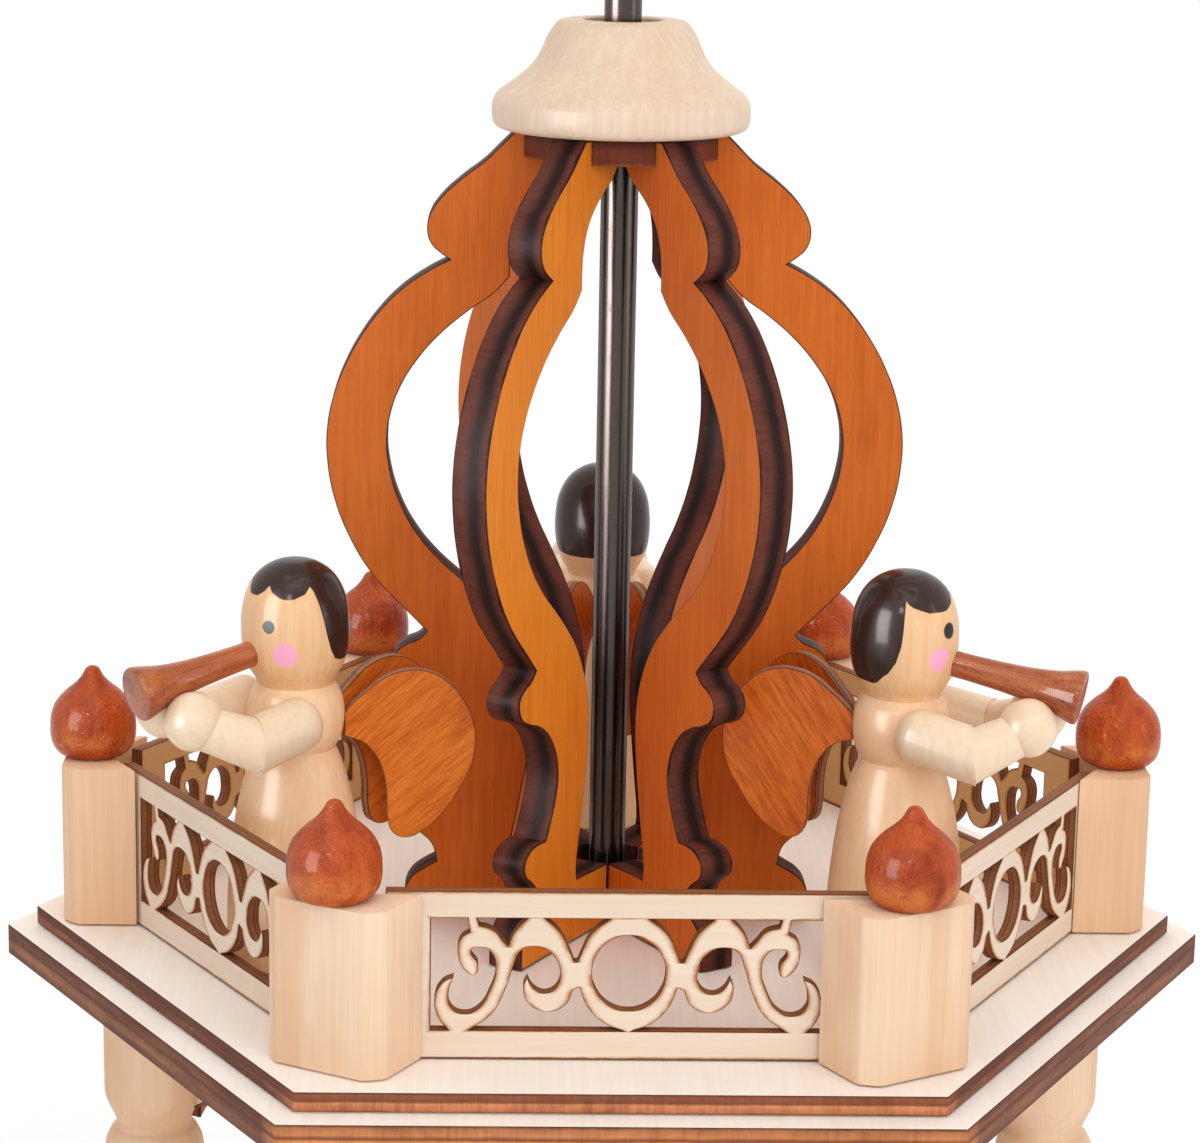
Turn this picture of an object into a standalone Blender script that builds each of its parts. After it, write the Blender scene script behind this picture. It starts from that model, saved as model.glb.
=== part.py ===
"""Six-sided candle pyramid with an openwork dome, a gallery of angels and a fan rotor."""

import math

import bmesh
import bpy
from mathutils import Matrix, Vector, geometry

# All sizes are in metres. Heights run up from the underside of the base.
MM = 0.001
SIDES = 6
CLEAR = 0.3 * MM

# Base and what stands on it
BASE_RADIUS = 150 * MM
BASE_THICKNESS = 6 * MM
STEP_THICKNESS = 5 * MM
BEARING_RADIUS = 9 * MM
BEARING_HEIGHT = 7 * MM
BEARING_FLOOR = 2.6 * MM
CUP_COUNT = 3
CUP_INSET = 23 * MM
CUP_HEIGHT = 27 * MM
CUP_DISH_RADIUS = 13.5 * MM
CUP_TO_STEP = 1.5 * MM
CANDLE_RADIUS = 7.2 * MM
CANDLE_DEPTH = 13 * MM
CUP_WALL = 2.3 * MM

# Lower storey
COLUMN_CIRCLE = 76 * MM
COLUMN_LENGTH = 118 * MM
COLUMN_RADIUS = 8.3 * MM
VALANCE_RADIUS = 70.6 * MM
VALANCE_BOARD = 3 * MM
VALANCE_DROP = 28.5 * MM
VALANCE_RISE = 17 * MM
TURNTABLE_RADIUS = 56 * MM
TURNTABLE_THICKNESS = 5 * MM
TURNTABLE_LIFT = 17 * MM
TURNTABLE_BOSS_RADIUS = 11 * MM
TURNTABLE_BOSS_HEIGHT = 9 * MM

# Deck: two plywood hexagons glued together
DECK_LOWER_RADIUS = 100 * MM
DECK_LOWER_THICKNESS = 5 * MM
DECK_UPPER_RADIUS = 95.1 * MM
DECK_UPPER_THICKNESS = 3 * MM
DECK_HOLE_RADIUS = 4.6 * MM

# Gallery: corner posts with stained finials and fretwork panels
RAILING_APOTHEM = 71 * MM
RAILING_BOARD = 2 * MM
RAILING_HEIGHT = 26 * MM
RAILING_HALF_LENGTH = 36 * MM
RAIL_TOP = 4.1 * MM
RAIL_BOTTOM = 4.4 * MM
STILE = 6.7 * MM
POST_HEIGHT = 25.7 * MM
POST_HALF_WIDTH = 10.2 * MM
POST_SHOULDER = 85.5 * MM
POST_NOSE_HALF_WIDTH = 6.5 * MM
POST_NOSE = 88.8 * MM
FINIAL_CIRCLE = 84.4 * MM
FINIAL_HEIGHT = 14.7 * MM
FINIAL_RADIUS = 7.05 * MM

# Dome: six ogee ribs slotted into a hexagonal collar under a turned cap
RIB_BOARD = 6 * MM
RIB_HEIGHT = 129.8 * MM
RIB_REACH = 46.7 * MM
COLLAR_THICKNESS = 4 * MM
COLLAR_APOTHEM = 14 * MM
COLLAR_SLOT_RADIUS = 10.2 * MM
CAP_HEIGHT = 18.2 * MM
CAP_RADIUS = 20.6 * MM
CAP_MOUTH_RADIUS = 6.35 * MM
CAP_MOUTH_DEPTH = 11 * MM

# Shaft and rotor
SHAFT_RADIUS = 3 * MM
SHAFT_POINT = 4 * MM
SHAFT_PLAY = 0.7 * MM
HUB_ABOVE_CAP = 46 * MM
HUB_HEIGHT = 20 * MM
HUB_RADIUS = 15 * MM
HUB_CROWN = 4.5 * MM
BLADE_COUNT = 8
BLADE_TIP = 124 * MM
BLADE_ROOT = 24 * MM
BLADE_ROOT_WIDTH = 13 * MM
BLADE_TIP_WIDTH = 44 * MM
BLADE_BOARD = 1.6 * MM
BLADE_PITCH = math.radians(40)
PEG_RADIUS = 2.2 * MM
PEG_DEPTH = 7.5 * MM
PEG_END = 34 * MM

# Angels with horns, glued to the deck between the ribs. Each is set by the
# degrees that it faces, the bay it stands in, its place out towards the railing
# and along it as shares of the railing's distance, and the degrees that its left
# and right wings open.
ANGEL_HEIGHT = 65.4 * MM
ANGEL_RADIUS = 11 * MM
HORN_REACH = 28.8 * MM
HORN_DROOP = math.radians(10.5)
WING_BOARD = 3 * MM
WING_OFFSET = 1.7 * MM
ANGELS = (
    ("back", 90, 90, 0.766, 0, 20, 20),
    ("left", 214, 210, 0.783, -0.068, 30, 2),
    ("right", 342, 330, 0.742, -0.010, 30, 3),
)

# The cups stand near the base's corners, clear of the step
CUP_CIRCLE = BASE_RADIUS - CUP_INSET
STEP_RADIUS = CUP_CIRCLE - CUP_DISH_RADIUS - CUP_TO_STEP

# Heights that follow from the stack
STEP_TOP = BASE_THICKNESS + STEP_THICKNESS
COLUMN_FOOT = STEP_TOP + CLEAR
DECK_BOTTOM = COLUMN_FOOT + COLUMN_LENGTH + CLEAR
DECK_MIDDLE = DECK_BOTTOM + DECK_LOWER_THICKNESS + CLEAR
DECK_TOP = DECK_MIDDLE + DECK_UPPER_THICKNESS
FLOOR = DECK_TOP + CLEAR
RIB_TOP = FLOOR + RIB_HEIGHT
CAP_BOTTOM = RIB_TOP + CLEAR
CAP_TOP = CAP_BOTTOM + CAP_HEIGHT
HUB_BOTTOM = CAP_TOP + HUB_ABOVE_CAP
PEG_LEVEL = HUB_BOTTOM + HUB_HEIGHT / 2
BEARING_BOTTOM = STEP_TOP + CLEAR
SHAFT_BOTTOM = BEARING_BOTTOM + BEARING_FLOOR + CLEAR
SHAFT_BORE = SHAFT_RADIUS + CLEAR
HUB_BORE_TOP = HUB_BOTTOM + HUB_HEIGHT - HUB_CROWN
SHAFT_TOP = HUB_BORE_TOP - CLEAR

FACET = math.radians(50)
COS30 = math.cos(math.radians(30))
TAN30 = math.tan(math.radians(30))


def material(name, colour, roughness, metallic=0.0):
    made = bpy.data.materials.new(name)
    made.use_nodes = True
    shader = made.node_tree.nodes["Principled BSDF"]
    shader.inputs["Base Color"].default_value = (*colour, 1.0)
    shader.inputs["Roughness"].default_value = roughness
    shader.inputs["Metallic"].default_value = metallic
    return made


def tidy(bm):
    """Weld coincident corners and turn every face outwards."""
    bmesh.ops.remove_doubles(bm, verts=bm.verts, dist=0.00001)
    bmesh.ops.recalc_face_normals(bm, faces=bm.faces)


def to_mesh(bm, name):
    mesh = bpy.data.meshes.new(name)
    bm.to_mesh(mesh)
    bm.free()
    return mesh


def place(name, mesh, look, location=(0, 0, 0), turn=0.0, smooth=False):
    """Put one named piece in the scene, turned about the vertical by the given angle."""
    if look.name not in [m.name for m in mesh.materials if m]:
        mesh.materials.append(look)
    if smooth:
        mesh.shade_smooth()
        mesh.set_sharp_from_angle(angle=math.radians(35))
    piece = bpy.data.objects.new(name, mesh)
    piece.location = location
    piece.rotation_euler = (0, 0, turn)
    bpy.context.scene.collection.objects.link(piece)
    return piece


def turned(name, profile, segments, ring=False):
    """Turn a profile of (radius, height) points about Z. A ring profile closes on itself."""
    bm = bmesh.new()
    points = [bm.verts.new((radius, 0, height)) for radius, height in profile]
    pairs = list(zip(points, points[1:]))
    if ring:
        pairs.append((points[-1], points[0]))
    edges = [bm.edges.new(pair) for pair in pairs]
    bmesh.ops.spin(bm, geom=points + edges, cent=(0, 0, 0), axis=(0, 0, 1),
                   angle=math.tau, steps=segments, use_merge=True)
    tidy(bm)
    return to_mesh(bm, name)


def hexagon(radius, turn=0.0):
    return [(radius * math.cos(turn + i * math.tau / SIDES), radius * math.sin(turn + i * math.tau / SIDES))
            for i in range(SIDES)]


def circle(radius, segments):
    return [(radius * math.cos(i * math.tau / segments), radius * math.sin(i * math.tau / segments))
            for i in range(segments)]


def extruded(name, outline, low, high):
    """Raise a flat outline from one height to another."""
    bm = bmesh.new()
    face = bm.faces.new([bm.verts.new((x, y, low)) for x, y in outline])
    raised = bmesh.ops.extrude_face_region(bm, geom=[face])
    top = [v for v in raised["geom"] if isinstance(v, bmesh.types.BMVert)]
    bmesh.ops.translate(bm, verts=top, vec=(0, 0, high - low))
    tidy(bm)
    return to_mesh(bm, name)


def saw_line(outline, facet):
    """Points along an outline of (x, y, kind), where kind is "c" for a corner and "s" for smooth.

    The line bends at a smooth point as its neighbours lie, and a stretch gets
    as many points as its bend needs.
    """
    knots = [Vector((x, y, 0)) for x, y, kind in outline]
    tangents = []
    for i, (x, y, kind) in enumerate(outline):
        across = knots[(i + 1) % len(knots)] - knots[i - 1]
        tangents.append(across.normalized() if kind == "s" else None)
    points = []
    for i, start in enumerate(knots):
        j = (i + 1) % len(knots)
        chord = knots[j] - start
        way = chord.normalized()
        leave, arrive = tangents[i] or way, tangents[j] or way
        bend = way.angle(leave) + way.angle(arrive)
        steps = 1 + int(bend / facet)
        reach = chord.length * 0.36
        stretch = geometry.interpolate_bezier(start, start + leave * reach, knots[j] - arrive * reach,
                                              knots[j], steps + 1)
        points += [p.xy for p in stretch[:-1]]
    return points


def sawn(name, outlines, thickness, facet=FACET):
    """Saw a board: the first outline is its edge and the others are its cut-outs."""
    curve = bpy.data.curves.new(name, "CURVE")
    curve.dimensions = "2D"
    curve.fill_mode = "BOTH"
    curve.extrude = thickness / 2
    for outline in outlines:
        points = saw_line(outline, facet)
        spline = curve.splines.new("POLY")
        spline.points.add(len(points) - 1)
        for knot, (x, y) in zip(spline.points, points):
            knot.co = (x, y, 0, 1)
        spline.use_cyclic_u = True
    drawn = bpy.data.objects.new(name, curve)
    bpy.context.scene.collection.objects.link(drawn)
    bpy.context.view_layer.update()
    filled = bpy.data.meshes.new_from_object(drawn.evaluated_get(bpy.context.evaluated_depsgraph_get()))
    bm = bmesh.new()
    bm.from_mesh(filled)
    tidy(bm)
    bpy.data.objects.remove(drawn)
    return to_mesh(bm, name)


def combined(mesh, others, operation):
    """Unite a mesh with others, or cut them out of it."""
    piece = bpy.data.objects.new("work", mesh)
    bpy.context.scene.collection.objects.link(piece)
    helpers = []
    for other in others:
        helper = bpy.data.objects.new("cutter", other)
        helper.hide_render = True
        helper.display_type = "WIRE"
        bpy.context.scene.collection.objects.link(helper)
        boolean = piece.modifiers.new("boolean", "BOOLEAN")
        boolean.operation = operation
        boolean.solver = "EXACT"
        boolean.object = helper
        helpers.append(helper)
    bpy.context.view_layer.update()
    result = bpy.data.meshes.new_from_object(piece.evaluated_get(bpy.context.evaluated_depsgraph_get()))
    for helper in helpers + [piece]:
        bpy.data.objects.remove(helper)
    bm = bmesh.new()
    bm.from_mesh(result)
    tidy(bm)
    return to_mesh(bm, mesh.name)


def moved(mesh, matrix):
    mesh.transform(matrix)
    return mesh


def upright(mesh):
    """Stand a sawn board up: its drawing's second axis becomes height."""
    return moved(mesh, Matrix.Rotation(math.radians(90), 4, "X"))


def along(start, end):
    """The frame whose Z runs from one point to another, with its origin at the first."""
    way = Vector(end) - Vector(start)
    return Matrix.Translation(start) @ way.to_track_quat("Z", "Y").to_matrix().to_4x4()


def limb(start, start_radius, end, end_radius):
    """A round-ended tapering limb: the hull of a ball at each end."""
    bm = bmesh.new()
    for centre, radius in ((start, start_radius), (end, end_radius)):
        bmesh.ops.create_uvsphere(bm, u_segments=7, v_segments=5, radius=radius,
                                  matrix=Matrix.Translation(centre))
    bmesh.ops.delete(bm, geom=bm.edges[:], context="EDGES_FACES")
    bmesh.ops.convex_hull(bm, input=bm.verts)
    bmesh.ops.delete(bm, geom=[v for v in bm.verts if not v.link_faces], context="VERTS")
    tidy(bm)
    return to_mesh(bm, "limb")


def round_the_sides(name, mesh, look, height=0.0, smooth=False, turn=0.0):
    """One copy of a piece at each corner, or with a turn, on each side."""
    for i in range(SIDES):
        place(f"{name}_{i + 1}", mesh, look, (0, 0, height), turn + i * math.tau / SIDES, smooth)


for old in list(bpy.data.objects):
    bpy.data.objects.remove(old, do_unlink=True)

pale_wood = material("pale limewood", (0.84, 0.66, 0.46), 0.55)
ply = material("birch plywood", (0.80, 0.64, 0.47), 0.6)
panel_ply = material("laser-cut panel", (0.78, 0.60, 0.42), 0.6)
rib_stain = material("orange-brown stained ply", (0.56, 0.16, 0.035), 0.5)
dark_stain = material("scorched ply", (0.10, 0.03, 0.015), 0.6)
finial_stain = material("red-brown glossy stain", (0.42, 0.09, 0.02), 0.3)
wing_stain = material("stained wing ply", (0.58, 0.19, 0.04), 0.5)
figure_wood = material("lacquered limewood", (0.88, 0.68, 0.45), 0.45)
steel = material("bright steel rod", (0.55, 0.53, 0.50), 0.25, 1.0)
brass = material("brass", (0.72, 0.50, 0.18), 0.3, 1.0)

# Base: a broad hexagon with a smaller step on it
broad = extruded("base", hexagon(BASE_RADIUS), 0, BASE_THICKNESS)
step = extruded("step", hexagon(STEP_RADIUS), BASE_THICKNESS / 2, STEP_TOP)
place("base", combined(broad, [step], "UNION"), ply)

# Bearing: a brass cup whose cone carries the shaft's point
bearing = [
    (0, 0),
    (BEARING_RADIUS, 0),
    (BEARING_RADIUS, BEARING_HEIGHT * 0.45),
    (BEARING_RADIUS * 0.7, BEARING_HEIGHT),
    (BEARING_RADIUS * 0.5, BEARING_HEIGHT),
    (0, BEARING_FLOOR),
]
place("bearing_cup", turned("bearing_cup", bearing, 16), brass, (0, 0, BEARING_BOTTOM), 0, True)

# Candle cups: turned, with a drip dish and a bore for the candle
cup_outer = CANDLE_RADIUS + CUP_WALL
cup = [
    (0, 0),
    (CUP_DISH_RADIUS, 0),
    (CUP_DISH_RADIUS, 2 * MM),
    (CUP_DISH_RADIUS - 1.5 * MM, 3 * MM),
    (cup_outer * 0.75, 4.5 * MM),
    (cup_outer * 0.7, 7 * MM),
    (cup_outer, 10.5 * MM),
    (cup_outer, CUP_HEIGHT - 3 * MM),
    (cup_outer + 0.9 * MM, CUP_HEIGHT - 1.8 * MM),
    (cup_outer + 0.6 * MM, CUP_HEIGHT),
    (CANDLE_RADIUS, CUP_HEIGHT),
    (CANDLE_RADIUS, CUP_HEIGHT - CANDLE_DEPTH),
    (0, CUP_HEIGHT - CANDLE_DEPTH),
]
cup_mesh = turned("candle_cup", cup, 12)
for i in range(CUP_COUNT):
    bearing_angle = i * math.tau / CUP_COUNT
    spot = Matrix.Rotation(bearing_angle, 3, "Z") @ Vector((CUP_CIRCLE, 0, BASE_THICKNESS + CLEAR))
    place(f"candle_cup_{i + 1}", cup_mesh, pale_wood, spot, 0, True)

# Columns: a plain drum, a neck, a ball and a slender vase below it.
# Each line is a share of the radius and the distance down from the deck.
column_turning = [
    (1.00, 0.000), (1.00, 0.175), (0.75, 0.235), (0.98, 0.282), (0.99, 0.330), (0.60, 0.420),
    (0.91, 0.800), (0.66, 0.885), (1.00, 0.940), (1.00, 1.000),
]
column = [(0, 0)]
for width, drop in reversed(column_turning):
    column.append((width * COLUMN_RADIUS, (1 - drop) * COLUMN_LENGTH))
column.append((0, COLUMN_LENGTH))
column_mesh = moved(turned("column", column, 12), Matrix.Translation((COLUMN_CIRCLE, 0, COLUMN_FOOT)))
valance_top = DECK_BOTTOM - CLEAR
valance_foot = valance_top - VALANCE_DROP
notch = extruded("notch", hexagon(VALANCE_RADIUS + CLEAR / COS30), valance_foot - CLEAR, DECK_BOTTOM + 1 * MM)
column_mesh = combined(column_mesh, [notch], "DIFFERENCE")
round_the_sides("column", column_mesh, pale_wood, 0, True)

# Valance: six boards meeting in the columns' notches, each cut to an arch below
half_side = VALANCE_RADIUS / 2
outer_ring = extruded("valance_ring", hexagon(VALANCE_RADIUS), valance_foot, valance_top)
inner_ring = extruded("valance_inside", hexagon(VALANCE_RADIUS - VALANCE_BOARD / COS30),
                      valance_foot - 1 * MM, valance_top + 1 * MM)
arch_half = half_side - 3.2 * MM
arches = []
for i in range(SIDES // 2):
    arch_line = [
        (-arch_half - 6 * MM, valance_foot - 2 * MM, "c"),
        (arch_half + 6 * MM, valance_foot - 2 * MM, "c"),
        (arch_half, valance_foot + 2.5 * MM, "c"),
        (arch_half * 0.6, valance_foot + VALANCE_RISE * 0.55, "s"),
        (arch_half * 0.25, valance_foot + VALANCE_RISE * 0.78, "s"),
        (0, valance_foot + VALANCE_RISE, "c"),
        (-arch_half * 0.25, valance_foot + VALANCE_RISE * 0.78, "s"),
        (-arch_half * 0.6, valance_foot + VALANCE_RISE * 0.55, "s"),
        (-arch_half, valance_foot + 2.5 * MM, "c"),
    ]
    arch = upright(sawn("arch", [arch_line], 2 * VALANCE_RADIUS + 10 * MM))
    arches.append(moved(arch, Matrix.Rotation(i * math.tau / SIDES, 4, "Z")))
place("valance_ring", combined(outer_ring, [inner_ring] + arches, "DIFFERENCE"), panel_ply)

# Deck plates, bored for the shaft
for name, radius, low, high in (
    ("deck_lower", DECK_LOWER_RADIUS, DECK_BOTTOM, DECK_MIDDLE - CLEAR),
    ("deck_upper", DECK_UPPER_RADIUS, DECK_MIDDLE, DECK_TOP),
):
    bore = extruded("bore", circle(DECK_HOLE_RADIUS, 24), low - 1 * MM, high + 1 * MM)
    plate = combined(extruded(name, hexagon(radius), low, high), [bore], "DIFFERENCE")
    place(name, plate, ply)

# Posts: five outer faces, and a wide notch behind in which two panels meet
notch_face = RAILING_APOTHEM + CLEAR
post_side = (notch_face - POST_HALF_WIDTH / 2) / COS30
post_outline = [
    (notch_face / COS30, 0),
    (post_side, -POST_HALF_WIDTH),
    (POST_SHOULDER, -POST_HALF_WIDTH),
    (POST_NOSE, -POST_NOSE_HALF_WIDTH),
    (POST_NOSE, POST_NOSE_HALF_WIDTH),
    (POST_SHOULDER, POST_HALF_WIDTH),
    (post_side, POST_HALF_WIDTH),
]
post_mesh = extruded("gallery_post", post_outline, FLOOR, FLOOR + POST_HEIGHT)
round_the_sides("gallery_post", post_mesh, pale_wood)

# Finials: onion shapes. Each line is a share of the radius and of the height.
onion = [
    (0.75, 0.00), (0.94, 0.10), (1.00, 0.28), (0.97, 0.41), (0.86, 0.55),
    (0.65, 0.70), (0.44, 0.81), (0.26, 0.91), (0.11, 0.99),
]
finial = [(0, 0)] + [(w * FINIAL_RADIUS, h * FINIAL_HEIGHT) for w, h in onion] + [(0, FINIAL_HEIGHT)]
finial_seat = FLOOR + POST_HEIGHT + CLEAR
finial_mesh = moved(turned("finial", finial, 12), Matrix.Translation((FINIAL_CIRCLE, 0, finial_seat)))
round_the_sides("finial", finial_mesh, finial_stain, 0, True)

# Railing fretwork, drawn on a panel whose opening is 58.6 wide and 17.7 high.
# Half of it is drawn, and the other half mirrors it about the ring in the middle.
# Beside the post: the field that runs round the S-scroll and into its eyes
FIELD_OUTER = [
    (29.3, 21.6, "c"), (24.0, 21.6, "c"), (23.5, 19.4, "c"), (24.9, 18.4, "s"), (25.3, 16.0, "s"),
    (24.2, 13.3, "s"), (22.7, 12.7, "s"), (22.3, 14.2, "s"), (23.3, 16.5, "s"), (22.2, 17.0, "s"),
    (20.4, 16.2, "s"), (19.7, 13.6, "s"), (20.6, 10.1, "s"), (22.2, 7.4, "s"), (24.4, 6.5, "s"),
    (26.3, 7.6, "s"), (26.6, 10.0, "s"), (25.9, 12.3, "c"), (27.6, 11.4, "s"), (28.7, 8.8, "s"),
    (28.1, 5.7, "s"), (26.6, 3.9, "c"), (29.3, 3.9, "c"),
]
# Between the two scrolls, under the top rail
WEDGE_OUTER = [
    (15.1, 21.6, "c"), (17.0, 19.4, "s"), (17.9, 17.2, "c"), (18.8, 18.2, "s"), (20.2, 19.8, "s"),
    (22.2, 20.4, "c"), (22.5, 21.6, "c"),
]
# Under the inner scroll and up into its eye
FIELD_INNER = [
    (0.6, 3.9, "c"), (3.6, 5.2, "s"), (6.1, 7.8, "s"), (7.3, 10.8, "c"), (8.2, 10.4, "c"),
    (9.3, 8.0, "s"), (11.8, 6.9, "s"), (14.7, 8.1, "s"), (15.6, 10.7, "s"), (15.1, 12.3, "c"),
    (13.8, 10.4, "s"), (12.2, 9.9, "s"), (10.6, 11.0, "s"), (10.2, 13.4, "s"), (11.2, 15.8, "s"),
    (13.8, 17.2, "s"), (16.1, 16.4, "s"), (17.1, 14.0, "s"), (18.3, 10.2, "s"), (20.2, 6.5, "s"),
    (23.6, 3.9, "c"),
]
# Between the inner scroll and the ring, under the top rail
WEDGE_INNER = [
    (2.9, 21.6, "c"), (5.6, 19.3, "s"), (7.1, 16.2, "s"), (7.6, 14.8, "c"), (8.1, 14.8, "c"),
    (8.9, 16.8, "s"), (10.2, 19.4, "s"), (12.5, 21.6, "c"),
]
RING_CENTRE = 13.1
RING_RADII = (5.45, 5.95)
DRAWN_HALF_WIDTH = 29.3
DRAWN_BOTTOM = 3.9
DRAWN_TOP = 21.6

opening_half = RAILING_HALF_LENGTH - STILE
opening_top = RAILING_HEIGHT - RAIL_TOP


def fitted(x, y):
    """Carry a point of the drawing to the panel's own opening."""
    share = (y - DRAWN_BOTTOM) / (DRAWN_TOP - DRAWN_BOTTOM)
    return x / DRAWN_HALF_WIDTH * opening_half, RAIL_BOTTOM + share * (opening_top - RAIL_BOTTOM)


panel_lines = [[
    (-RAILING_HALF_LENGTH, 0, "c"), (RAILING_HALF_LENGTH, 0, "c"),
    (RAILING_HALF_LENGTH, RAILING_HEIGHT, "c"), (-RAILING_HALF_LENGTH, RAILING_HEIGHT, "c"),
]]
for drawing in (FIELD_OUTER, WEDGE_OUTER, FIELD_INNER, WEDGE_INNER):
    for hand in (1, -1):
        panel_lines.append([(*fitted(hand * x, y), kind) for x, y, kind in drawing])
ring = []
for i in range(8):
    angle = i * math.tau / 8
    x, y = RING_RADII[0] * math.cos(angle), RING_CENTRE + RING_RADII[1] * math.sin(angle)
    ring.append((*fitted(x, y), "s"))
panel_lines.append(ring)
panel_mesh = upright(sawn("railing_panel", panel_lines, RAILING_BOARD))
panel_centre = RAILING_APOTHEM - RAILING_BOARD / 2
panel_mesh = moved(panel_mesh, Matrix.Translation((0, -panel_centre, FLOOR)))
round_the_sides("railing_panel", panel_mesh, panel_ply, 0, False)

# Dome ribs, drawn 130 high with a belly 46.7 from the axis. The outer edge runs
# down from the cap over the top lobe, the belly, the knob, the neck and the knee
# to the toe. The inner edge climbs back from the foot to the collar.
RIB_OUTER = [
    (17.6, 130.0, "c"), (21.4, 125.9, "s"), (28.7, 119.8, "s"), (30.7, 114.9, "s"), (27.0, 110.0, "c"),
    (34.8, 105.0, "s"), (43.6, 93.1, "s"), (46.7, 80.0, "s"), (43.5, 65.4, "s"), (36.3, 54.7, "s"),
    (30.2, 48.7, "c"), (33.6, 46.4, "s"), (35.5, 43.6, "s"), (33.0, 40.6, "s"), (26.8, 37.6, "s"),
    (23.2, 32.6, "s"), (23.1, 27.0, "s"), (26.2, 19.6, "c"), (31.2, 19.2, "s"), (33.2, 16.8, "s"),
    (30.6, 13.5, "s"), (28.4, 9.2, "c"), (32.2, 7.0, "s"), (33.6, 3.8, "s"),
]
RIB_INNER = [
    (15.9, 10.3, "c"), (15.3, 17.0, "s"), (13.2, 29.0, "s"), (13.0, 39.0, "s"), (17.3, 50.0, "s"),
    (28.6, 61.0, "s"), (35.2, 71.5, "s"), (36.9, 80.5, "s"), (33.4, 92.2, "s"), (24.3, 101.6, "s"),
    (17.4, 107.0, "c"), (17.2, 112.5, "s"), (14.2, 119.2, "s"),
]
rib_wider = RIB_REACH / max(x for x, y, kind in RIB_OUTER)
rib_taller = RIB_HEIGHT / max(y for x, y, kind in RIB_OUTER)
rib_heel = max(RIB_BOARD / 2 / TAN30, SHAFT_RADIUS) + CLEAR
rib_neck = COLLAR_SLOT_RADIUS + CLEAR


def rib_point(x, y, kind):
    return x * rib_wider, y * rib_taller, kind


rib_line = [rib_point(*p) for p in RIB_OUTER]
rib_line += [rib_point(33.8, 0, "c"), (rib_heel, 0, "c"), (rib_heel, 10.0 * rib_taller, "c")]
rib_line += [rib_point(*p) for p in RIB_INNER]
rib_line += [(rib_neck, RIB_HEIGHT - COLLAR_THICKNESS - 4 * MM, "c"), (rib_neck, RIB_HEIGHT, "c")]
rib_mesh = upright(sawn("dome_rib", [rib_line], RIB_BOARD, FACET / 2))
rib_mesh = moved(rib_mesh, Matrix.Translation((0, 0, FLOOR)))
round_the_sides("dome_rib", rib_mesh, rib_stain)

# Collar: a hexagon with a slot for each rib at its corners
collar_low = RIB_TOP - COLLAR_THICKNESS
collar = extruded("rib_collar", hexagon(COLLAR_APOTHEM / COS30), collar_low, RIB_TOP)
cuts = [extruded("bore", circle(SHAFT_RADIUS + SHAFT_PLAY, 24), collar_low - 1 * MM, RIB_TOP + 1 * MM)]
slot_half = RIB_BOARD / 2 + CLEAR
slot_end = COLLAR_APOTHEM / COS30 + 2 * MM
for i in range(SIDES):
    slot = extruded("slot", [(COLLAR_SLOT_RADIUS, -slot_half), (slot_end, -slot_half),
                             (slot_end, slot_half), (COLLAR_SLOT_RADIUS, slot_half)],
                    collar_low - 1 * MM, RIB_TOP + 1 * MM)
    cuts.append(moved(slot, Matrix.Rotation(i * math.tau / SIDES, 4, "Z")))
place("rib_collar", combined(collar, cuts, "DIFFERENCE"), dark_stain)

# Cap: a turned bell with a wide mouth on top round the shaft.
# Each line is a share of the radius and of the height.
bell = [
    (0.90, 0.000), (0.985, 0.050), (1.00, 0.120), (1.00, 0.215), (0.985, 0.290), (0.90, 0.390),
    (0.79, 0.485), (0.69, 0.590), (0.62, 0.720), (0.58, 0.850), (0.53, 0.945), (0.45, 1.000),
]
cap = [(SHAFT_RADIUS + SHAFT_PLAY, 0)] + [(w * CAP_RADIUS, h * CAP_HEIGHT) for w, h in bell]
cap += [(CAP_MOUTH_RADIUS, CAP_HEIGHT), (CAP_MOUTH_RADIUS, CAP_HEIGHT - CAP_MOUTH_DEPTH)]
cap += [(SHAFT_RADIUS + SHAFT_PLAY, CAP_HEIGHT - CAP_MOUTH_DEPTH)]
place("dome_cap", turned("dome_cap", cap, 20, True), pale_wood, (0, 0, CAP_BOTTOM), 0, True)

# Angels: skirt, bodice and head turned in one, with bent arms that hold a horn.
# Each line is a share of the skirt's radius and of the whole height.
angel_turning = [
    (0.95, 0.000), (1.00, 0.050), (0.99, 0.170), (0.92, 0.310), (0.79, 0.430), (0.65, 0.505),
    (0.57, 0.532), (0.66, 0.560), (0.705, 0.615), (0.66, 0.665), (0.555, 0.698), (0.66, 0.730),
    (0.745, 0.768), (0.78, 0.828), (0.74, 0.893), (0.62, 0.940), (0.42, 0.975), (0.22, 0.993),
]
angel_line = [(0, 0)] + [(w * ANGEL_RADIUS, h * ANGEL_HEIGHT) for w, h in angel_turning] + [(0, ANGEL_HEIGHT)]
across = ANGEL_RADIUS / 11.0
rise = ANGEL_HEIGHT / 65.4


def joint(forward, side, up):
    """A point on an angel that faces +X, drawn on one 65.4 high with a skirt of radius 11."""
    return forward * across, side * across, up * rise


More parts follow.
